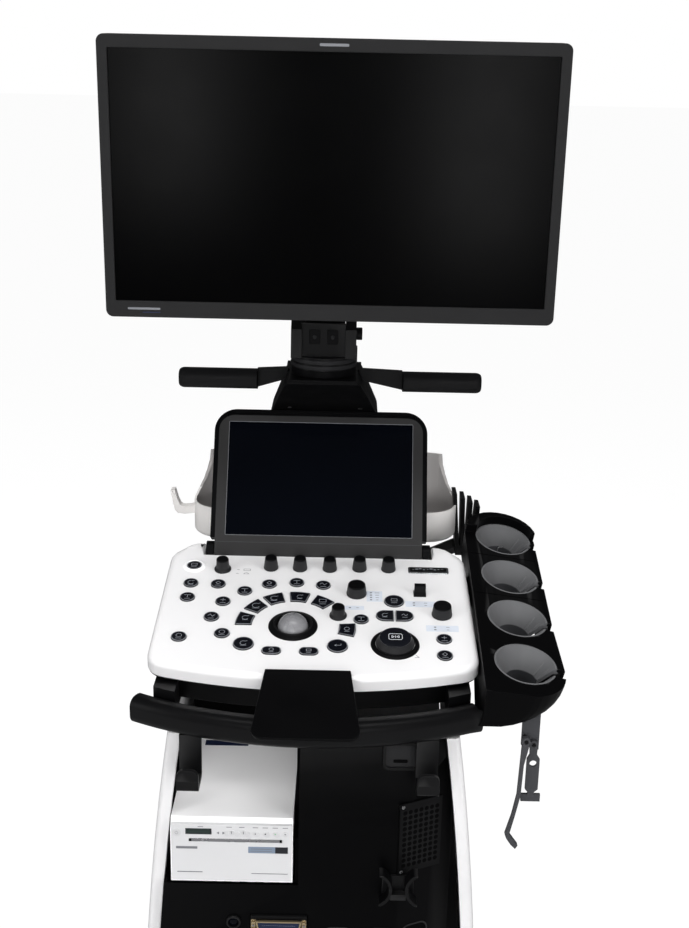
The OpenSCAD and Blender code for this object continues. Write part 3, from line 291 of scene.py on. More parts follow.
class Piece:
    """One Blender piece: shapes are added to one mesh, then it is finished with done()."""

    def __init__(self, name, body, slot, materials, replaces=()):
        self.name = name
        self.body = body
        self.slot = slot
        self.materials = [M[m] for m in materials.split()]
        self.replaces = replaces
        self.bm = bmesh.new()

    def skin(self, rings, mat=0):
        """Faces between each ring of points and the next; a ring of one point is a tip."""
        for low, high in zip(rings, rings[1:]):
            n = max(len(low), len(high))
            for k in range(n):
                j = (k + 1) % n
                if len(low) == 1:
                    corners = [low[0], high[j], high[k]]
                elif len(high) == 1:
                    corners = [low[k], low[j], high[0]]
                else:
                    corners = [low[k], low[j], high[j], high[k]]
                self.bm.faces.new(corners).material_index = mat
        return self

    def skin_ends(self, rings, mat=0):
        self.bm.faces.new(rings[-1]).material_index = mat
        self.bm.faces.new(rings[0][::-1]).material_index = mat
        return self

    def lathe(self, profile, at, steps=64, mat=0, flutes=0, flute=0.0, fluted=(0, 0)):
        """Turned shape about the local Z axis; flutes are cut between two heights."""
        rings = []
        for r, z in profile:
            if r < 1e-7:
                rings.append([self.bm.verts.new(at @ Vector((0, 0, z)))])
                continue
            depth = flute if fluted[0] <= z <= fluted[1] else 0
            ring = []
            for k in range(steps):
                a = 2 * math.pi * k / steps
                d = r - depth * (0.5 + 0.5 * math.cos(flutes * a))
                ring.append(self.bm.verts.new(at @ Vector((d * math.cos(a), d * math.sin(a), z))))
            rings.append(ring)
        return self.skin(rings, mat)

    def slab(self, outline, z0, z1, at, mat=0, rim=0.0):
        """Plate of an outline between two heights; rim rounds its top edge."""
        levels = [(0.0, z0)]
        if rim:
            levels += [(rim * (1 - math.cos(a)), z1 - rim * (1 - math.sin(a)))
                    for a in (0, math.pi / 6, math.pi / 3, math.pi / 2)]
        else:
            levels += [(0.0, z1)]
        rings = [[self.bm.verts.new(at @ Vector((*p, z))) for p in inset(outline, d)]
                for d, z in levels]
        return self.skin(rings, mat).skin_ends(rings, mat)

    def frame(self, outer, inner, z0, z1, at, mat=0):
        """Flat ring between two outlines with the same number of points."""
        rings = [[self.bm.verts.new(at @ Vector((*p, z))) for p in line]
                for line, z in ((outer, z0), (outer, z1), (inner, z1), (inner, z0))]
        return self.skin(rings + rings[:1], mat)

    def box(self, low, high, at=WORLD, mat=0, rim=0.0):
        w, h = high[0] - low[0], high[1] - low[1]
        centre = shift((low[0] + high[0]) / 2, (low[1] + high[1]) / 2)
        line = [(-w / 2, -h / 2), (w / 2, -h / 2), (w / 2, h / 2), (-w / 2, h / 2)]
        if rim:
            line = round_rect(w, h, rim * 1.5, 3)
        return self.slab(line, low[2], high[2], at @ centre, mat, rim)

    def strokes(self, paths, width, z, at, mat=0, thick=0.12):
        """Printed lines: each stretch of each path is a thin flat bar."""
        for path in paths:
            for a, b in zip(path, path[1:]):
                a, b = Vector(a), Vector(b)
                along = (b - a).normalized()
                side = Vector((-along.y, along.x)) * width / 2
                reach = along * width * 0.35
                corners = [a - reach - side, b + reach - side, b + reach + side, a - reach + side]
                self.slab([tuple(c) for c in corners], z, z + thick, at, mat)
        return self

    def tube(self, path, radius, at=WORLD, sides=8):
        """Round bar along points, with closed ends."""
        path = [at @ Vector(p) for p in path]
        rings = []
        for i, p in enumerate(path):
            ahead = path[min(i + 1, len(path) - 1)] - path[max(i - 1, 0)]
            turn = ahead.normalized().to_track_quat("Z", "Y").to_matrix().to_4x4()
            ring = Matrix.Translation(p) @ turn @ Matrix.Scale(MM, 4)
            rings.append([self.bm.verts.new(ring @ Vector((*q, 0)))
                    for q in circle(radius, sides)])
        return self.skin(rings).skin_ends(rings)

    def cad(self, node):
        """The CAD node's own shape, as clean faces."""
        source = NODES[node].data
        part = bmesh.new()
        part.from_mesh(source)
        bmesh.ops.remove_doubles(part, verts=part.verts, dist=0.004 * MM)
        bmesh.ops.dissolve_limit(part, angle_limit=math.radians(0.4), verts=part.verts,
                edges=part.edges)
        for f in part.faces:
            f.material_index = 0
        clean = bpy.data.meshes.new("part")
        part.to_mesh(clean)
        part.free()
        self.bm.from_mesh(clean)
        bpy.data.meshes.remove(clean)
        return self

    def round_edges(self, width, segments=2, limit=30, chosen=None, clamp=True):
        """Rounds the sharp edges, or only those that chosen(edge) picks."""
        self.bm.normal_update()
        sharp = [e for e in self.bm.edges if len(e.link_faces) == 2
                and e.calc_face_angle(0) > math.radians(limit) and (chosen is None or chosen(e))]
        bmesh.ops.bevel(self.bm, geom=sharp, offset=width * MM, offset_type="OFFSET",
                segments=segments, profile=0.5, affect="EDGES", clamp_overlap=clamp,
                miter_outer="ARC" if segments > 1 else "SHARP")
        return self

    def reshape(self, rule, at=WORLD):
        """Moves the points by rule(point), in the millimetres of a place."""
        back = at.inverted()
        for v in self.bm.verts:
            p = back @ v.co
            rule(p)
            v.co = at @ p
        return self

    def slice(self, axis, cuts):
        """Adds edges where planes across an axis cut the faces."""
        normal = Vector([float(k == axis) for k in range(3)])
        for cut in cuts:
            everything = self.bm.verts[:] + self.bm.edges[:] + self.bm.faces[:]
            bmesh.ops.bisect_plane(self.bm, geom=everything, plane_co=normal * cut,
                    plane_no=normal)

    def done(self, smooth=35):
        bmesh.ops.remove_doubles(self.bm, verts=self.bm.verts, dist=0.0005 * MM)
        bmesh.ops.recalc_face_normals(self.bm, faces=self.bm.faces)
        mesh = bpy.data.meshes.new(self.name)
        self.bm.to_mesh(mesh)
        self.bm.free()
        for m in self.materials:
            mesh.materials.append(m)
        for p in mesh.polygons:
            p.use_smooth = True
        mesh.set_sharp_from_angle(angle=math.radians(smooth))
        piece = bpy.data.objects.new(self.name, mesh)
        bpy.context.scene.collection.objects.link(piece)
        normals = piece.modifiers.new("normals", "WEIGHTED_NORMAL")
        normals.keep_sharp = True
        normals.weight = 90
        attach(piece, self.body)
        if self.replaces:
            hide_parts(*self.replaces)
        return piece


def inset(outline, distance):
    """The outline moved inwards; it runs anticlockwise."""
    if not distance:
        return outline
    moved = []
    n = len(outline)
    for k in range(n):
        before, here, after = (Vector(outline[(k + d) % n]) for d in (-1, 0, 1))
        a, b = (here - before).normalized(), (after - here).normalized()
        inward = Vector((-a.y, a.x)) + Vector((-b.y, b.x))
        if inward.length < 1e-9:
            moved.append(tuple(here))
            continue
        inward.normalize()
        lean = max(0.4, inward.dot(Vector((-a.y, a.x))))
        moved.append(tuple(here + inward * distance / lean))
    return moved


def arc(cx, cy, r, start, end, steps):
    angles = [math.radians(start + (end - start) * k / steps) for k in range(steps + 1)]
    return [(cx + r * math.cos(a), cy + r * math.sin(a)) for a in angles]


def circle(r, steps=32, dx=0.0, dy=0.0):
    return arc(dx, dy, r, 0, 360, steps)[:-1]


def upright(w, y0, y1, low_r, high_r, steps, dx=0.0):
    """Rectangle whose lower and upper corners have their own radius."""
    low, high = w / 2 - low_r, w / 2 - high_r
    return (arc(dx + low, y0 + low_r, low_r, -90, 0, steps)
            + arc(dx + high, y1 - high_r, high_r, 0, 90, steps)
            + arc(dx - high, y1 - high_r, high_r, 90, 180, steps)
            + arc(dx - low, y0 + low_r, low_r, 180, 270, steps))


def round_rect(w, h, r, steps=6, dx=0.0, dy=0.0):
    return upright(w, dy - h / 2, dy + h / 2, r, r, steps, dx)


BODY_OF = {n: o["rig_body"] for n, o in NODES.items()}
SLOT_OF = {s["node"]: s["material_slot"] for s in frame["record"]["subparts"]}


def rounded(node, look, width, segments=2, big=None, limit=30, clamp=True):
    """The CAD node with its edges rounded, as a piece that stands for it. big lists
    (width, segments, test) for edges that get a larger radius."""
    piece = Piece(node + "_shell", BODY_OF[node], SLOT_OF[node], look, [node]).cad(node)
    for big_width, big_segments, test in big or ():
        piece.round_edges(big_width, big_segments, limit, test, clamp)
    if width:
        piece.round_edges(width, segments, limit, None, clamp)
    return piece


def paint(node, look):
    """A material for a CAD node that shows as it is."""
    NODES[node].data.materials.clear()
    NODES[node].data.materials.append(M[look])


def normals_match(edge, test):
    a, b = (f.normal for f in edge.link_faces)
    return test(a, b) or test(b, a)


# ---------- CAD nodes that only need rounded edges: look, radius and segments ----------

CORNERS = ("front_left", "front_right", "rear_left", "rear_right")
PLAIN = (
    ("base_frame", "painted_steel", 0.8), ("printer_bay", "black_deep", 0.6),
    ("cable_cleat", "black_satin", 1.1, 3), ("connector_panel", "black", 0.5),
    ("console_tray", "black", 1.2, 3), ("palm_plate", "rack_shell", 1.3, 4),
    ("toggle_switch", "knob_top", 0.8, 3), ("neck_yoke", "black_satin", 1.6, 3),
    ("lock_knob", "black_satin", 0.9, 3), ("monitor_arm", "black", 2, 3),
    ("tilt_head", "black", 1.2, 3), ("monitor_housing", "housing", 3.5, 4),
    ("monitor_bezel", "frame_grey", 0.9, 3), ("short_strap", "strap", 0.7, 3),
    ("long_strap", "strap", 0.9, 3), ("card_cage", "aluminium", 0),
    ("power_supply", "steel", 0.6), ("fan_rotor", "black", 0.6),
    ("column_sleeve", "aluminium", 0.6), ("lift_column", "aluminium", 0.6),
    *((f"fork_{corner}", "caster", 0.8) for corner in CORNERS),
)


def make_plain():
    for row in PLAIN:
        rounded(*row).done()


# ---------- Body and base ----------

def top_and_outside(a, b):
    """One face looks up and the other sideways, as on a cover's upper rim."""
    return a.z > 0.8 and abs(b.z) < 0.3


def make_base():
    rounded("base_cover", "base", 1.0, big=[(12, 4, lambda e: normals_match(e, top_and_outside)
            and e.verts[0].co.z > 0.2 and abs(e.verts[0].co.y - 0.19) > 0.06)]).done()
    mat = Piece("footrest_mat", "cart", "base_plastic", "strap black")
    low, high = corners_of("base_cover")
    at = place((CART_X, low.y + 36, high.z))
    mat.slab(round_rect(330, 46, 12, 5), -0.5, 1.6, at, 0, 0.8)
    for k in range(11):
        mat.slab(round_rect(9, 34, 4, 4), 1.4, 2.4, at @ shift((k - 5) * 28, 0), 1, 0.6)
    mat.done()


def mirrored(side):
    """A wheel's section from one half of it, closed for lathe()."""
    return side + [(r, -z) for r, z in side[::-1]] + side[:1]


def make_casters():
    for name in CORNERS:
        low, high = corners_of(f"wheel_{name}")
        r = (high.z - low.z) / 2
        half = (high.x - low.x) / 2 - 2
        hub = place(node_centre(f"wheel_{name}")) @ spin(90, "Y")
        wheel = Piece(f"caster_wheel_{name}", f"wheel_{name}", "caster_tread",
                "tread caster black", [f"wheel_{name}"])
        wheel.lathe(mirrored([(46, 1 - half), (48, -half), (r - 6, -half), (r - 2.5, 1.5 - half),
                (r - 0.6, 5 - half), (r, 9 - half), (r, -3), (r - 0.9, -2)]), hub, 72)
        wheel.lathe(mirrored([(6.2, -half - 1.5), (13, -half - 1.5), (14, -half), (16, 5 - half),
                (40, 5 - half), (43, 2 - half), (46.5, 1.5 - half)]), hub, 72, 2)
        for k in range(5):
            for face in (-1, 1):
                wheel.slab(round_rect(26, 7, 3, 4, 28), -1.5, 1.5, hub @ spin(72 * k, "Z")
                        @ shift(0, 0, face * (half - 4.5)), 1)
        wheel.done()


def side_outline():
    """Height and half width of the cart's body, in metres, read from the right side panel."""
    widest = {}
    for v in NODES["right_side_panel"].data.vertices:
        z = round(v.co.z, 3)
        widest[z] = max(widest.get(z, 0), v.co.x - CART_X * MM)
    return list(widest.items())


SIDE_OUTLINE = side_outline()


def outer_front(e):
    half_width = min(sorted(SIDE_OUTLINE), key=lambda p: abs(p[0] - e.verts[0].co.z))[1]
    return (normals_match(e, lambda a, b: a.y < -0.9 and abs(b.x) > 0.7)
            and max(abs(v.co.x - CART_X * MM) for v in e.verts) > half_width - 5 * MM)


def make_side_panels():
    for side in ("left", "right"):
        rounded(f"{side}_side_panel", "white", 0.8, big=[(7, 5, outer_front)]).done(smooth=30)


def make_front():
    def fold(e):
        return (e.verts[0].co.y < (BODY_FRONT + 2) * MM and normals_match(
                e, lambda a, b: a.y < -0.95 and 0.2 < b.x < 0.6 and abs(b.z) < 0.4))
    rounded("front_panel", "black_body", 1.0, big=[(16, 6, fold)], limit=14).done(smooth=40)
    # recessed switch box with a round frame, high on the right
    at = place((89, BODY_FRONT + 23.5, 736), 90 - 22)
    box = Piece("switch_recess", "cart", "body_black", "black_body dark_grey black_deep")
    box.frame(round_rect(44, 34, 7, 5), round_rect(37, 27, 4, 5), -6, 2, at)
    box.slab(round_rect(37.4, 27.4, 4, 5), -6, -1.5, at, 1, 0.4)
    box.slab(round_rect(18, 4, 1.5, 5, 0, -6), -1.6, -0.4, at, 2, 0.4)
    box.done()
    line = Piece("front_top_seam", "cart", "body_black", "symbol_dim")
    high = corners_of("front_panel")[1]
    line.tube([(x, high.y - 9, high.z + 0.2) for x in range(-30, 60, 15)], 0.45, sides=12)
    line.done()


def turned_face():
    """Frame on the grille's plate: X along it, Z out of it."""
    turn = math.degrees(math.atan2(34, 70))
    low = corners_of("speaker_grille")[0]
    return place((88, BODY_FRONT, low.z), 90, turn)


def make_grille():
    paint("speaker_grille", "grille_plate")
    at = turned_face()
    # black discs laid on the plate stand for its holes: painted shade
    holes = Piece("grille_hole_shade", "cart", "grille_black", "black_deep")
    for i in range(7):
        for j in range(11):
            holes.slab(circle(3.05, 14, 8 + 7.6 * i, 11 + 7.6 * j), 2.4, 2.58, at)
    holes.done()
    screws = Piece("grille_screws", "cart", "grille_black", "steel black_deep")
    for z in (3.5, 96.5):
        head = at @ shift(4.5, z, 3.6)
        screws.lathe([(0, -0.2), (2.3, -0.2), (2.3, 0.3), (1.6, 0.8), (0, 1.0)], head, 20)
        for w, h in ((2.6, 0.5), (0.5, 2.6)):
            screws.slab(round_rect(w, h, 0.2, 2), 0.9, 1.1, head, 1)
    screws.done()
    backing = Piece("speaker_mesh", "cart", "grille_black", "black_deep")
    backing.box((2, 2, -0.6), (58, 98, 0.2), at).done()


def make_connectors():
    at = place((-61, BODY_FRONT, 504), 90)
    plug = Piece("printer_port", "cart", "port_grey", "navy gold steel black_deep symbol_dim")
    # D-shaped socket: navy centre in a metal shell, with a clip at each end
    shell = [(-27, -7), (27, -7), (29.5, 7), (-29.5, 7)]
    inside = [(-25, -5.2), (25, -5.2), (27.2, 5.2), (-27.2, 5.2)]
    plug.frame(shell, inside, 2.5, 6, at, 1)
    plug.slab(inside, 2.6, 4.6, at)
    plug.slab([(-22, -1.6), (22, -1.6), (22, 1.6), (-22, 1.6)], 4.5, 5.4, at, 0, 0.3)
    for k in range(18):
        plug.slab(round_rect(0.8, 0.5, 0.1, 1, (k - 8.5) * 2.4, 0.9), 5.3, 5.6, at, 4)
    for s in (-1, 1):
        clip = at @ shift(s * 32.5, 0)
        plug.slab(round_rect(6, 17, 1.2, 3), 2.6, 4.4, clip, 1, 0.5)
        for y in (-5, 5):
            plug.slab(round_rect(4.5, 4, 1, 3, 0, y), 4.2, 7, clip, 1, 0.8)
        plug.slab(circle(1.6, 16), 4.3, 5.2, clip, 2, 0.4)
    plug.done()
    lens = Piece("port_lens", "cart", "body_black", "black_satin black_deep touch_glass")
    at = place((-119, BODY_FRONT, 507), 90)
    lens.lathe([(9.5, -1), (9.5, 3), (8.6, 4.2), (7.2, 4.4), (6.6, 3.2), (6.4, 1)], at, 40)
    lens.lathe([(6.6, 1), (5, 2.1), (2.5, 2.7), (0, 2.9)], at, 40, 2)
    lens.done()
    for k, x in enumerate((15, 72, 116)):
        pocket = Piece(f"port_pocket_{k + 1}", "cart", "body_black", "black_satin black_deep")
        at = place((x, BODY_FRONT, 470), 90)
        if x > 88:
            at = place((88 + (x - 88) * 0.9, BODY_FRONT + (x - 88) * 0.437, 470), 90, 25.9)
        pocket.frame(round_rect(40, 62, 12, 6), round_rect(36, 58, 10, 6), -0.5, 0.9, at)
        pocket.slab(round_rect(36.4, 58.4, 10, 6), -0.4, 0.25, at, 1)
        pocket.done()


FACE_LIFT = 6.5  # how much higher the printer's details sit than in the CAD


def make_printer():
    low, high = corners_of("printer_case")
    rounded("printer_case", "printer", 1.2, 3).done(smooth=30)
    face = place(low, 90)
    w = high.x - low.x
    h = high.z - low.z - 6
    plate = Piece("printer_fascia", "cart", "printer_white", "printer_face")
    plate.box((1, 1.2, -5.3), (w - 1, h, 0.25), face, 0, 0.6).done()
    parts = Piece("printer_details", "cart", "printer_white",
            "lcd print badge_blue badge_black green printer_key steel black_deep printer_face")
    face = face @ shift(0, FACE_LIFT, 0.1)
    # two dials with a pointer, and a left and a right arrow button
    for x in (77, 92):
        dial = face @ shift(x, 64)
        parts.lathe([(4.7, 0), (4.7, 0.8), (4.3, 1.2), (3.7, 1.2), (3.5, 0.8), (0, 0.8)], dial,
                32, 5)
        parts.slab(round_rect(1, 3.6, 0.3, 2, 0, 1.2), 0.9, 1.3, dial, 1)
    for x, s in ((60, 1), (67, -1)):
        arrow = [(x - s * 1.8, 64), (x + s * 1.4, 62), (x + s * 1.4, 66)]
        parts.slab(arrow if s > 0 else arrow[::-1], 0, 0.3, face, 1)
    # four small round keys and their marks
    for k, x in enumerate((107, 119.5, 132, 144.5)):
        key = face @ shift(x, 64)
        parts.lathe([(3.3, 0), (3.3, 0.6), (2.9, 0.9), (0, 1.0)], key, 28, 5)
        parts.slab(round_rect(1.7, 1.7, 0.4, 2), 0.95, 1.15, key, (1, 3, 4, 1)[k])
    knob = face @ shift(8, 64)
    parts.lathe([(5.2, 0), (5.2, 0.7), (4.7, 1.1), (0, 1.2)], knob, 32, 5)
    parts.strokes([arc(0, 0, 1.9, 130, 410, 10), [(0, 0.6), (0, 2.4)]], 0.35, 1.25, knob, 1)
    for x in (38, 74, 90, 107, 119.5, 132, 144.5):
        parts.box((x - 3.4, 72, 0), (x + 3.4, 72.9, 0.18), face, 1)
    for x0, x1, y0, y1, z0, z1, mat, rim in (
            # display; paper slot with a metal tear bar; name plates without names; rules
            (19, 52, 61.5, 70, -1, 0.3, 3, 0.2), (20.5, 50.5, 62.7, 68.8, 0.2, 0.45, 0, 0),
            (23, 141, 51.2, 55.8, -0.4, 0.5, 6, 0.3), (26, 138, 51.9, 52.5, 0.3, 0.7, 1, 0),
            (23.5, 26.5, 51.6, 55.4, 0.3, 0.75, 7, 0), (137.5, 140.5, 51.6, 55.4, 0.3, 0.75, 7, 0),
            (98, 148, 36, 45, 0.2, 0.7, 2, 0.2), (132, 148, 36, 45, 0.3, 0.85, 3, 0.2),
            (101, 128, 41.6, 42.4, 0.6, 0.78, 1, 0), (101, 128, 38.6, 39.4, 0.6, 0.78, 1, 0),
            (7, 34, 40.6, 44, 0.2, 0.5, 1, 0.15), (8, 40, 6.5, 7.5, 0.2, 0.5, 1, 0),
            (102, 148, 5.5, 6.3, 0.2, 0.5, 1, 0)):
        parts.box((x0, y0, z0), (x1, y1, z1), face, mat, rim)
    parts.done()
    top = Piece("printer_top_label", "cart", "printer_white", "navy")
    top.box((low.x + 24, low.y + 186, high.z), (low.x + 84, low.y + 200, high.z + 0.4)).done()
    keys = Piece("printer_key_caps", "printer_keys", "printer_white", "printer_key",
            ["printer_keys"]).cad("printer_keys")
    keys.bm.transform(Matrix.Translation((0, 0, FACE_LIFT * MM)))
    keys.round_edges(0.6, 2).done()


def make_back():
    paint("rear_cover", "white")
    back = corners_of("rear_cover")[1].y
    fan = joint_at("fan_spin")
    guard = Piece("fan_guard", "cart", "side_white", "steel black")
    at = place((fan.x, back - 0.5, fan.z), -90)
    for r in (14, 27, 40, 53):
        guard.tube([(*p, 2) for p in circle(r, 48) + [(r, 0)]], 1.1, at)
    for k in range(4):
        a = math.radians(45 + 90 * k)
        x, y = math.cos(a), math.sin(a)
        guard.tube([(14 * x, 14 * y, 0.8), (60 * x, 60 * y, 0.8)], 1.3, at)
        guard.lathe([(0, 0), (5, 0), (5, 1.2), (3.4, 2.6), (0, 2.8)], at @ shift(60 * x, 60 * y),
                24, 1)
    guard.done()
    screws = Piece("rear_screws", "cart", "side_white", "steel black_deep")
    for x, z in ((-195, 232), (-150, 742), (0, 232), (0, 742), (195, 232), (150, 742)):
        head = place((CART_X + x, back, z), -90)
        screws.lathe([(0, -0.5), (4.2, -0.5), (4.2, 1), (2.8, 2.2), (0, 2.4)], head, 24)
        for turn in (0, 90):
            screws.slab(round_rect(5, 0.9, 0.3, 2), 2.2, 2.5, head @ spin(turn, "Z"), 1)
    screws.done()
    plate = Piece("rating_plate", "cart", "side_white", "steel print")
    at = place((CART_X - 70, back, 262), -90) @ spin(180, "Z")
    plate.slab(round_rect(90, 50, 4, 4), 0, 0.6, at, 0, 0.2)
    for k in range(6):
        plate.slab(round_rect(70 - 9 * (k % 3), 1.6, 0.4, 1, -4.5 * (k % 3), 15 - 6 * k), 0.55,
                0.75, at, 1)
    plate.done()
    boards = Piece("circuit_boards", "cart", "bare_aluminium", "circuit black steel")
    low, high = corners_of("card_cage")
    for k in range(-6, 6):
        x = CART_X + k * 21 + 10
        boards.box((x - 0.8, low.y + 10, low.z + 6), (x + 0.8, high.y - 12, high.z - 8), mat=0)
        for j in range(4):
            y = low.y + 50 + 70 * j
            z = low.z + 60 + 62 * ((j + k) % 4)
            boards.box((x + 0.7, y, z), (x + 4, y + 26, z + 26), mat=1 + j % 2)
    boards.done()


# ---------- Console ----------

def wall_edge(e):
    """Upper rim of the white top's outer wall, not of the key holes."""
    up = up_of(DECK)
    if not normals_match(e, lambda a, b: a.dot(up) > 0.9 and abs(b.dot(up)) < 0.2):
        return False
    side = [f for f in e.link_faces if abs(f.normal.dot(up)) < 0.2][0]
    heights = [(DECK_BACK @ v.co).z for v in side.verts]
    return max(heights) - min(heights) > 15


def widen_top(p):
    """The white top reaches further out at its sides and back than its CAD solid."""
    if abs(p.x) > 190 and p.y > 0:
        share = min(1, (abs(p.x) - 190) / 6) * min(1, p.y / 140)
        p.x += math.copysign(6.5 * share, p.x)
    p.y += 8 * min(1, max(0, (p.y - 130) / 20))


def shape_hooks(p):
    """Lower fork bar and hook tips, and fuller, straighter fork fins."""
    x, y, z = p
    if 182 < y < 192 and 850 < z < 867 and x < 100:
        p.z -= 60
    if y < -312.5 and z > 735:
        p.z -= 12
    for i in range(4):
        a = math.radians(3 + 3 * i)
        dx, dz = x - 183 - 8 * i, z - 866
        across = dx * math.cos(a) - dz * math.sin(a)
        along = dx * math.sin(a) + dz * math.cos(a)
        if y > 150 and -0.3 < across < 3.8 and 1 < along < 86:
            p.x += (across - 1.75) * 0.75 - 0.13 * along


def make_console():
    deck = rounded("console_top", "white", 0.35, 2, big=[(8, 6, wall_edge)], clamp=False)
    deck.reshape(widen_top, DECK).done(smooth=28)
    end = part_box("front_handle")[1].x
    handle = rounded("front_handle", "black_satin", 0,
            big=[(6, 5, lambda e: min(v.co.x for v in e.verts) < end - 2 * MM)])
    for v in handle.bm.verts:
        if v.co.x > end - 2 * MM:
            v.co.x += 4 * MM
    handle.done(smooth=40)
    hooks = rounded("cable_hooks", "black_satin", 1, 3).reshape(shape_hooks)
    # round-topped tongues of the two hooks
    half = 13.4
    tongue = (arc(half - 2, 2, 2, -90, 0, 3) + arc(half - 9, 18, 9, 0, 90, 6)
            + arc(9 - half, 18, 9, 90, 180, 6) + arc(2 - half, 2, 2, 180, 270, 3))
    for x in (-183, 106):
        hooks.slab(tongue, 0, 5.8, place((x + 13.5, -314.1, 724), 90), 0, 1.4)
    hooks.done()


def rack_rim(e):
    """Upper rim of the rack's outer wall, not of its cups."""
    up = up_of(RACK)
    p = RACK_BACK @ ((e.verts[0].co + e.verts[1].co) / 2)
    return (normals_match(e, lambda a, b: a.dot(up) > 0.9 and abs(b.dot(up)) < 0.25) and p.z > -2
            and p.x > 212 and all((p.xy - Vector(c)).length > 41 for c in CUPS))


def sweep_up(p):
    """Draws the rack's wall and floor in towards its nose, most of all at the bottom."""
    deep = min(1.0, max(0.0, -p.z / 56))
    share = min(1.0, max(0.0, (-10 - p.y) / 120))
    squeeze = share * (1 - (1 - deep ** 2.7) ** (1 / 2.7)) * 0.94
    p.x = RACK_EDGE.x + (p.x - RACK_EDGE.x) * (1 - squeeze)


def make_rack():
    shell = rounded("probe_rack", "rack_shell", 0.8, 2, big=[(9, 6, rack_rim)])
    shell.bm.transform(RACK_BACK)
    shell.slice(2, (-8, -16, -24, -32, -39, -45, -50, -53.5))
    shell.slice(0, range(220, 316, 10))
    shell.slice(1, range(-164, 0, 12))
    shell.bm.transform(RACK)
    shell.reshape(sweep_up, RACK).done()
    bracket = Piece("strap_bracket", "lift", "rack_black", "strap")
    bracket.slab([(237, 760), (259, 754), (259, 808), (237, 806)], 0, 3.6,
            place((0, -252.6, 0), 90)).done()
    liners = rounded("rack_liners", "liner strap", 0.5, 2)
    # faces deep in each throat take the darker strap rubber: painted shade
    for f in liners.bm.faces:
        if (RACK_BACK @ f.calc_center_median()).z < -24:
            f.material_index = 1
    liners.done(smooth=40)
    # joints between the rack's mouldings
    seams = Piece("rack_seams", "lift", "rack_black", "black_deep")
    for y in (40, 136):
        seams.box((212, y - 0.5, -0.2), (306, y + 0.5, 0.25), RACK)
    seams.done()
    # folds moulded into each liner beside its slot
    folds = Piece("liner_folds", "lift", "cup_grey", "liner black_deep")
    for cup in CUPS:
        for angle in (-62, -38, 10, 34):
            x, y = math.cos(math.radians(angle)), math.sin(math.radians(angle))
            folds.tube([(33 * x, 33 * y, -8), (21 * x, 21 * y, -25)], 1.4, RACK @ shift(*cup))
    folds.done()
    pin = Piece("cup_pin", "lift", "cup_grey", "steel")
    pin.tube([(255, 157, -4), (255, 157, 1), (257, 158, 2), (261, 159, 2)], 0.9, RACK, 10).done()


def symbol(kind, size):
    """Plain generic marks for the keys."""
    marks = [[arc(0, 0.12, 0.34, 0, 360, 16)], [[(-0.4, 0.3), (0.4, 0.3)], [(0, 0.3), (0, -0.25)]],
            [arc(0, 0, 0.38, 60, 330, 14), [(0.19, 0.33), (0.42, 0.42)]],
            [[(-0.36, 0.36), (0.36, 0.36), (0.36, -0.12), (-0.36, -0.12), (-0.36, 0.36)]],
            [[(-0.42, 0.05), (-0.14, 0.36), (0.14, -0.1), (0.42, 0.24)]],
            [[(-0.3, 0.1), (0, 0.42), (0.3, 0.1), (0, -0.2), (-0.3, 0.1)]],
            [[(0, 0.45), (0, -0.15)], [(-0.3, 0.15), (0.3, 0.15)]],
            [[(0.4, 0.3), (0.4, 0), (-0.3, 0)], [(-0.12, 0.16), (-0.34, 0), (-0.12, -0.16)]]]
    bar = [[(-0.34, -0.46), (0.34, -0.46)]]
    paths = marks[kind] + (bar if kind < 7 else [])
    return [[(x * size, y * size) for x, y in path] for path in paths]


def islands(node):
    """Centre and size, on the console's surface, of each separate solid of a node."""
    bm = bmesh.new()
    bm.from_mesh(NODES[node].data)
    bmesh.ops.remove_doubles(bm, verts=bm.verts, dist=0.004 * MM)
    left = set(bm.verts)
    found = []
    while left:
        stack = [left.pop()]
        group = []
        while stack:
            v = stack.pop()
            group.append(DECK_BACK @ v.co)
            for e in v.link_edges:
                w = e.other_vert(v)
                if w in left:
                    left.remove(w)
                    stack.append(w)
        xs = [p.x for p in group]
        ys = [p.y for p in group]
        found.append(((min(xs) + max(xs)) / 2, (min(ys) + max(ys)) / 2, max(xs) - min(xs),
                max(ys) - min(ys), max(p.z for p in group)))
    bm.free()
    return sorted(found)


KEY_BASE = 0.4
KEY_SINK = 0.55


def sink_key(p):
    """Keys stand lower out of the white top than their CAD solids."""
    if p.z > KEY_BASE:
        p.z = KEY_BASE + (p.z - KEY_BASE) * KEY_SINK


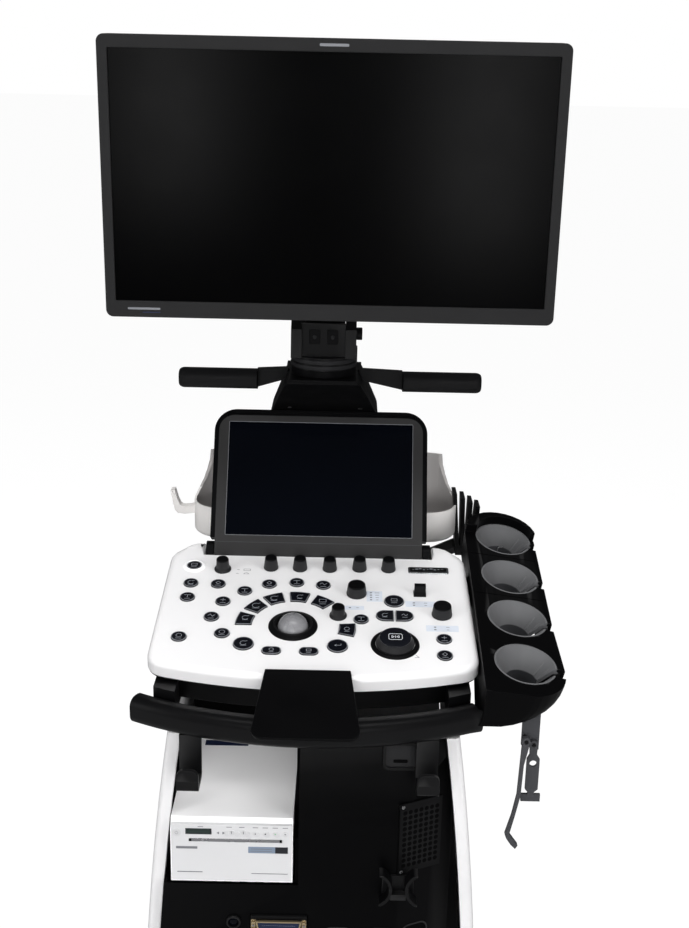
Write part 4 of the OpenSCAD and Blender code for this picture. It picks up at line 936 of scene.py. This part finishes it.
def make_keys():
    caps = Piece("key_caps", "keys", "key_black", "clear_ring cap key_skirt", ["keys"]).cad("keys")
    up = up_of(DECK)
    caps.bm.normal_update()
    tops = [f for f in caps.bm.faces if f.normal.dot(up) > 0.99]
    for f in caps.bm.faces:
        if f.normal.dot(up) < 0.9:
            f.material_index = 2
    for rim, lift in ((0.3, 0.3), (0.75, 0), (0.25, 0.2)):
        bmesh.ops.inset_individual(caps.bm, faces=tops, thickness=rim * MM, depth=lift * MM)
    for top in tops:
        top.material_index = 1
        for e in top.edges:
            for f in e.link_faces:
                f.material_index = 1
    caps.reshape(sink_key, DECK).done(smooth=25)
    marks = Piece("key_symbols", "keys", "key_black", "symbol_dim")
    for k, (x, y, w, h, top) in enumerate(islands("keys")):
        size = min(w, h)
        kind = k % 7
        if size > 25:
            kind = 7 if x > 0 and y < 0 else (3 if x > 0 else 2)
        marks.strokes(symbol(kind, (0.55 if size < 21 else 0.42) * size), 0.5, 0.02,
                DECK @ shift(x, y, KEY_BASE + (top + 0.1) * KEY_SINK))
    marks.done()
    # clear surrounds and the power key's white ring, printed on the white top
    rings = Piece("key_surrounds", "lift", "console_white", "white_key_ring white clear_ring")
    power = min(islands("keys"), key=lambda i: i[0] - i[1])
    rings.lathe([(10.6, -0.5), (10.6, 1.7), (11.4, 2.2), (13.6, 1.6), (15.6, 0.05)],
            DECK @ shift(power[0], power[1]), 48)
    for key in islands("keys"):
        x, y, w, h, top = key
        if abs(w - h) < 0.02 and key != power:
            r = w / 2
            rings.lathe([(r + 0.2, -0.1), (r + 0.3, 0.5), (r + 0.8, 0.55), (r + 1.1, 0.02)],
                    DECK @ shift(x, y), 40, 2)
    rings.done()


def make_freeze():
    x, y, w, h, top = islands("freeze_key")[0]
    at = DECK @ shift(x, y)
    r = w / 2
    key = Piece("freeze_key_cap", "freeze_key", "key_black", "knob_side cap", ["freeze_key"])
    key.lathe([(11.5, -8), (11.5, 2), (r, 2), (r, 3.4), (r - 0.5, 4.4), (r - 1.6, 6.0),
            (r - 2.9, 7.8), (r - 3.9, 9.2), (r - 4.3, 9.8)], at, 96)
    key.lathe([(r - 4.4, 9.2), (r - 4.2, 11.2), (r - 4.7, 12.2), (r - 5.8, 12.7), (r * 0.35, 12.3),
            (0, 12.2)], at, 96, 1)
    key.done(smooth=50)
    mark = Piece("freeze_symbol", "freeze_key", "key_black", "symbol")
    screen = round_rect(17, 12, 2.5, 4)
    paths = [screen + screen[:1], [(-4.6, -2.2), (-4.6, 2.2), (-1.6, 0), (-4.6, -2.2)],
            [(4.6, -2.2), (4.6, 2.2), (1.6, 0), (4.6, -2.2)], [(0, -2.2), (0, 2.2)]]
    mark.strokes(paths, 0.5, 12.6, at).done()


def make_rings():
    piece = Piece("console_rings", "lift", "ring_black", "knob_top black_satin chrome symbol_dim",
            ["control_rings"])
    at = DECK @ shift(BALL_ON_DECK.x, BALL_ON_DECK.y)
    piece.lathe([(21.3, -6), (24.4, -6), (24.4, -0.4), (32, 0), (31.6, 0.9), (30.6, 1.7),
            (29, 2.3), (26.6, 3.2), (25.2, 3.9)], at, 96)
    piece.lathe([(25.2, 3.3), (25.0, 4.2), (24, 4.5), (22.8, 4.0), (21.7, 2.6), (21.2, -1)], at,
            96, 1)
    at = DECK @ shift(103, -69)
    piece.lathe([(25.1, 0), (31.2, 0), (30.9, 1.0), (30, 2.0), (27.5, 2.9), (25.9, 2.9),
            (25.1, 2.2), (25.1, 0)], at, 96)
    # bright trim strip: a curved bar with a dark window
    at = DECK @ shift(153, 99)
    piece.slab(round_rect(56, 15, 3, 5), 0, 1.8, at, 2, 0.9)
    piece.slab(round_rect(50, 9.5, 2, 4, 0, 1), 1.7, 2.1, at, 0, 0.2)
    for k in range(9):
        dash = round_rect(1.2 + k * 7 % 4, 1.6, 0.4, 2, k * 5 - 21, 0.4 + k % 3)
        piece.slab(dash, 2, 2.25, at, 3)
    piece.done(smooth=50)


def make_ball():
    ball = Piece("trackball_sphere", "trackball", "ball_grey", "ball", ["trackball"])
    r = 20.5
    steps = 40
    ball.lathe([(r * math.sin(math.pi * k / steps) if 0 < k < steps else 0,
            -r * math.cos(math.pi * k / steps)) for k in range(steps + 1)],
            place(BALL_AT, DECK_TILT), 96)
    ball.done()


def make_knob(node, flared):
    """Tapered, finely ribbed knob with a domed black top, on its shaft."""
    x, y, w, h, t = islands(node)[0]
    at = DECK @ shift(x, y)
    r = w / 2
    knob = Piece(node + "_cap", node, SLOT_OF[node], "knob_side knob_top", [node])
    if flared:
        side = [(r, 0.4), (r, 1.6), (r - 0.3, 2.3), (r - 1.6, 3.0), (r - 2.2, 3.8), (r - 2.6, 5),
                (r - 3.1, t - 2)]
    else:
        side = [(r, 0.4), (r, 2.2), (r - 0.35, 2.6), (r - 0.9, t * 0.5), (r - 1.7, t - 2)]
    knob.lathe([(3, -12), (3, 0.4)] + side, at, 144, 0, 36, 0.18, (2.5, t - 2.2))
    last = side[-1][0]
    knob.lathe([(last, t - 2), (last - 0.25, t - 1.0), (last - 0.9, t - 0.3), (last - 2, t),
            (last * 0.45, t - 0.15), (0, t - 0.25)], at, 72, 1)
    knob.done(smooth=50)


def make_controls():
    make_keys()
    make_freeze()
    make_rings()
    make_ball()
    for k in range(1, 7):
        make_knob(f"menu_knob_{k}", k == 1)
    for name in ("select", "zoom", "gain"):
        make_knob(f"{name}_knob", name == "select")
    labels = Piece("console_labels", "lift", "console_white", "label print symbol_dim")
    for x, y, w, h in ((78, 36, 21, 24), (51, 9, 26, 9), (139, 20, 40, 13), (165, -33, 42, 13)):
        at = DECK @ shift(x, y)
        labels.slab(round_rect(w, h, 0.8, 3), -0.05, 0.14, at)
        rows = max(1, int(h / 6))
        for k in range(rows):
            yy = (k - (rows - 1) / 2) * 5.4
            labels.slab(round_rect(3, 2.2, 0.5, 2, -w * 0.22, yy), 0.1, 0.22, at, 1)
            labels.slab(round_rect(3.5 + k, 1.3, 0.4, 2, w * 0.17, yy), 0.1, 0.22, at, 2)
    # small generic marks beside the first knob and the freeze key
    at = DECK @ shift(-96, 93)
    labels.strokes([[(-5, 2), (4, 2), (4, -2), (-5, -2), (-5, 2)], arc(-1, -10, 3, 0, 180, 8),
            [(-5, -10), (3, -10)]], 0.6, 0, at, 1)
    labels.strokes([[(-14, 0), (-11, 0)], [(-15, -9), (-12, -9)]], 0.8, 0, at, 1)
    at = DECK @ shift(130, -93)
    labels.strokes([[(-1.5, 3.5), (2.5, -1.5)], [(-3, -1.5), (2.5, -1.5)]], 0.6, 0, at, 1)
    labels.done()


# ---------- Touch panel, neck and monitor ----------

def raise_top(p):
    """The touch panel's housing ends a little higher than its CAD solid."""
    p.y += 9 * (p.y > 120)


def make_touch():
    housing = rounded("touch_housing", "black touch_frame", 2.2, 4)
    for f in housing.bm.faces:
        p = TOUCH_BACK @ f.calc_center_median()
        if p.y < 12.5 and p.z > -3:
            f.material_index = 1
    housing.reshape(raise_top, TOUCH).done()
    paint("touch_screen", "touch_glass")
    face = 12
    trim = Piece("touch_bezel", "touch", "touch_black", "touch_frame print")
    n = 8
    trim.frame(upright(291, 9.7, 193, 1, 22, n), round_rect(262, 164, 1, n, 0, 101.5), face - 0.6,
            face + 0.35, TOUCH, 0)
    trim.frame(round_rect(263, 165, 1.5, n, 0, 101.5), round_rect(261.8, 163.8, 0.7, n, 0, 101.5),
            face - 0.7, face + 0.42, TOUCH, 1)
    trim.done()
    half = TOUCH_POST_X - 0.8
    bar = Piece("touch_lower_bar", "touch", "touch_black", "touch_frame strap")
    side = [(z, y) for z, y in ((-12.4, 9.2), (-12.4, -4.5), (-11.4, -7.6), (-9.2, -10),
            (-6, -11.7), (-1, -12.3), (0, -12.3), (0, 9.2))]
    bar.slab(side, -half, half, TOUCH @ spin(90, "Y"))
    bar.round_edges(0.5, 2)
    # a lighter grey strip along the bar's top edge: painted highlight
    bar.box((-half, 9.0, 12), (half, 9.7, 12.55), TOUCH, 1)
    bar.done(smooth=40)
    seams = Piece("touch_barrel_seams", "touch", "touch_black", "black_deep")
    for s in (-1, 1):
        seams.lathe([(12.05, -0.3), (12.12, 0), (12.05, 0.3)],
                TOUCH @ shift(s * 143.5, 0) @ spin(90, "Y"), 48)
    seams.done()


def lower_clamp(p):
    """Keeps the hanger's clamp below the neck, and draws its two arms in to it."""
    aside = abs(p.x - CART_X)
    if aside < 62 and p.y < 111 and p.z < 1168:
        p.z -= 0.95 * max(0, p.z - 1158)
        if aside > 51:
            p.x -= math.copysign(8, p.x - CART_X)


def make_neck():
    rounded("column_cover", "black", 5, 4, limit=24).done()
    bands = Piece("neck_bands", "neck", "neck_black", "black_satin black dark_grey")
    pos = joint_at("neck_swivel")
    at = place((pos.x, pos.y, 1169))
    # the two bands take a lighter grey than the neck: painted highlight
    for z in (1.5, 9):
        bands.lathe([(43.8, z), (44.9, z + 0.6), (45.2, z + 3), (44.9, z + 5.4), (43.8, z + 6)],
                at, 96, 2)
    # metal hinge plates and screws in the recessed front of the fork
    for s in (-1, 1):
        plate = place((pos.x + s * 12, pos.y - 32, 1214), 90)
        bands.slab(round_rect(15, 20, 2, 3), -0.5, 1.6, plate, 1, 0.5)
        bands.lathe([(2.6, 1.4), (2.6, 2.6), (1.8, 3.2), (0, 3.3)], plate, 24, 2)
    bands.done()
    hanger = rounded("hanger_bar", "pad", 5.5, 5).reshape(lower_clamp)
    low, high = (corner.x for corner in corners_of("hanger_bar"))
    for d in (0.8, 2, 3.5, 5.5, 8):
        hanger.slice(0, ((low + d) * MM, (high - d) * MM))

    def round_end(p):
        d = min(p.x - low, high - p.x)
        if d < 8:
            near = min(1.0, 1 - d / 8)
            k = 1 - 0.36 * (1 - math.sqrt(1 - near * near))
            p.y = 60 + (p.y - 60) * k
            p.z = 1143 + (p.z - 1143) * k
    hanger.reshape(round_end).done(smooth=50)
    seams = Piece("hanger_seams", "lift", "pad_black", "black_deep")
    for x in (-111.4, 89.4):
        seams.slab(round_rect(28.5, 26.5, 12, 6), -0.5, 0.5, place((x, 60, 1143), 90, 90))
    seams.done()
    screws = Piece("cover_screws", "lift", "column_black", "steel black_deep")
    slope = (1116 - 1070) / (138 - 60)
    for x in (-69, 32):
        screws.lathe([(0, -0.4), (3.4, -0.4), (3.4, 0.6), (2.4, 1.2), (0, 1.3)],
                place((x, 100, 1116 - 40 * slope), -math.degrees(math.atan(slope))), 24)
    screws.done()


def make_monitor():
    paint("monitor_screen", "glass")
    mark = Piece("monitor_marks", "monitor", "monitor_black",
            "symbol_dim print navy steel black_deep")
    # plain bars where a maker would print a name
    mark.slab(round_rect(34, 3.2, 1, 3, 0, 158.6), -0.05, 0.1, MONITOR, 1)
    mark.slab(round_rect(40, 2.6, 1, 3, -229, -155), -0.05, 0.1, MONITOR, 1)
    mark.slab(round_rect(22, 1.2, 0.5, 3, -220, -159.5), -0.05, 0.1, MONITOR, 2)
    back = MONITOR @ shift(0, 0, -54) @ spin(180, "Y")
    # near-black bars on the back stand for vent slots: painted shade
    for y in (98, -98):
        for k in range(23):
            mark.slab(round_rect(4, 26, 2, 4, (k - 11) * 15, y), -0.4, 0.25, back, 4)
    for x in (-1, 1):
        for y in (-1, 1):
            mark.lathe([(0, 0), (4, 0), (4, 1.4), (2.8, 2.4), (0, 2.5)],
                    back @ shift(9 + x * 50, y * 50, 6), 24, 3)
            mark.lathe([(0, 0), (3, 0), (3, 0.8), (2, 1.4), (0, 1.5)],
                    back @ shift(x * 215, y * 118), 20, 3)
    mark.done()


def make_hanging():
    low = corners_of("rear_cups")[0].z
    cups = rounded("rear_cups", "warm_white warm_shade", 1.3, 4,
            big=[(11, 6, lambda e: max(v.co.z for v in e.verts) < (low + 0.5) * MM)])

    def raise_floor(p):
        if p.z < low + 42:
            p.z = low + 42 - (low + 42 - p.z) * 0.68
    cups.reshape(raise_floor)
    # inner faces of each cup take a darker copy of its white: painted shade
    cups.bm.normal_update()
    for f in cups.bm.faces:
        p = f.calc_center_median() / MM
        out = Vector((p.x - (134 if p.x > CART_X else -166), p.y - 160, 0))
        if out.length < 50 and f.normal.dot(out.normalized()) < -0.3:
            f.material_index = 1
    cups.done(smooth=40)


# ---------- Stage, light and camera ----------

def make_stage():
    mesh = bpy.data.meshes.new("floor")
    mesh.from_pydata([(-60, -60, 0), (60, -60, 0), (60, 60, 0), (-60, 60, 0)], [], [(0, 1, 2, 3)])
    plane = bpy.data.objects.new("floor", mesh)
    bpy.context.scene.collection.objects.link(plane)
    look = bpy.data.materials.new("floor_look")
    look.use_nodes = True
    tree = look.node_tree
    shader = tree.nodes["Principled BSDF"]
    shader.inputs["Base Color"].default_value = (0.30, 0.30, 0.305, 1)
    shader.inputs["Roughness"].default_value = 0.9
    shader.inputs["Specular IOR Level"].default_value = 0.0
    glow = add(tree, "Emission", Color=(1, 1, 1, 1), Strength=1.34)
    paths = add(tree, "LightPath")
    share = add(tree, "Math")
    share.operation = "MULTIPLY"
    share.inputs[1].default_value = 0.72
    link(tree, paths.outputs["Is Camera Ray"], share.inputs[0])
    mix = add(tree, "MixShader")
    link(tree, share.outputs[0], mix.inputs[0])
    link(tree, shader.outputs[0], mix.inputs[1])
    link(tree, glow.outputs[0], mix.inputs[2])
    link(tree, mix.outputs[0], tree.nodes["Material Output"].inputs["Surface"])
    mesh.materials.append(look)


def area_light(name, where, aim, size, watts, mirrored=False):
    data = bpy.data.lights.new(name, "AREA")
    data.shape = "RECTANGLE"
    data.size, data.size_y = size
    data.energy = watts
    lamp = bpy.data.objects.new(name, data)
    lamp.location = where
    lamp.rotation_euler = (Vector(aim) - Vector(where)).to_track_quat("-Z", "Y").to_euler()
    lamp.visible_camera = False
    lamp.visible_glossy = mirrored
    bpy.context.scene.collection.objects.link(lamp)


def make_lights():
    """Large soft lights for the shape; only the narrow ones show in glossy surfaces."""
    # name, place, aim, size, watts, seen in reflections
    for row in (
            ("top_softbox", (0, -0.7, 3.2), (0, -0.1, 0.8), (2.4, 1.8), 45),
            ("left_softbox", (-2.3, -2.0, 1.9), (0, 0, 0.9), (1.2, 2.0), 34),
            ("right_softbox", (2.3, -2.0, 1.9), (0, 0, 0.9), (1.2, 2.0), 44),
            ("front_fill", (0, -3.4, 1.0), (0, 0, 0.7), (2.0, 1.0), 46),
            ("bay_fill", (-0.118, -0.16, 0.785), (-0.118, -0.16, 0.5), (0.16, 0.22), 0.09),
            ("front_strip", (0, -0.95, 2.75), (0, -0.2, 0.8), (1.8, 0.25), 6, True),
            ("back_fill", (0, 2.6, 3.0), (0, 0, 1.0), (2.2, 1.0), 40),
            ("left_strip", (-1.9, -1.0, 1.2), (0, -0.2, 0.8), (0.16, 1.6), 3.5, True),
            ("right_strip", (2.4, -1.3, 1.0), (0, -0.2, 0.8), (0.16, 1.4), 2.2, True),
            ("left_glow", (-0.53, -2.5, 1.38), (-0.2, 0, 1.38), (0.22, 0.7), 2.6, True),
            ("right_glow", (0.42, -2.5, 1.34), (0.16, 0, 1.34), (0.24, 0.9), 3.4, True)):
        area_light(*row)
    world = bpy.data.worlds.new("studio")
    bpy.context.scene.world = world
    world.use_nodes = True
    tree = world.node_tree
    back = tree.nodes["Background"]
    back.inputs["Color"].default_value = (1, 1, 1, 1)
    seen = add(tree, "LightPath").outputs["Is Camera Ray"]
    link(tree, ranged(tree, seen, 0.07, 1, 0, 1), back.inputs["Strength"])
    bpy.context.scene.view_settings.view_transform = "Standard"


def make_camera():
    data = bpy.data.cameras.new("camera")
    data.lens = 50
    data.sensor_fit = "VERTICAL"
    data.sensor_height = 36
    data.sensor_width = 36
    data.clip_end = 200
    camera = bpy.data.objects.new("camera", data)
    pitch, roll, yaw = (math.radians(a) for a in (17.19, 1.25, 0.11))
    level = math.cos(pitch)
    ahead = Vector((math.sin(yaw) * level, math.cos(yaw) * level, -math.sin(pitch)))
    right = Vector((math.cos(yaw), -math.sin(yaw), 0))
    up = right.cross(ahead)
    right, up = (math.cos(roll) * right + math.sin(roll) * up,
            -math.sin(roll) * right + math.cos(roll) * up)
    turn = Matrix((right, up, -ahead)).transposed().to_4x4()
    camera.matrix_world = Matrix.Translation((0.008, -1.680, 1.560)) @ turn
    bpy.context.scene.collection.objects.link(camera)
    bpy.context.scene.camera = camera


make_camera()
make_plain()
make_base()
make_casters()
make_side_panels()
make_front()
make_grille()
make_connectors()
make_printer()
make_back()
make_console()
make_rack()
make_controls()
make_touch()
make_neck()
make_monitor()
make_hanging()
make_stage()
make_lights()
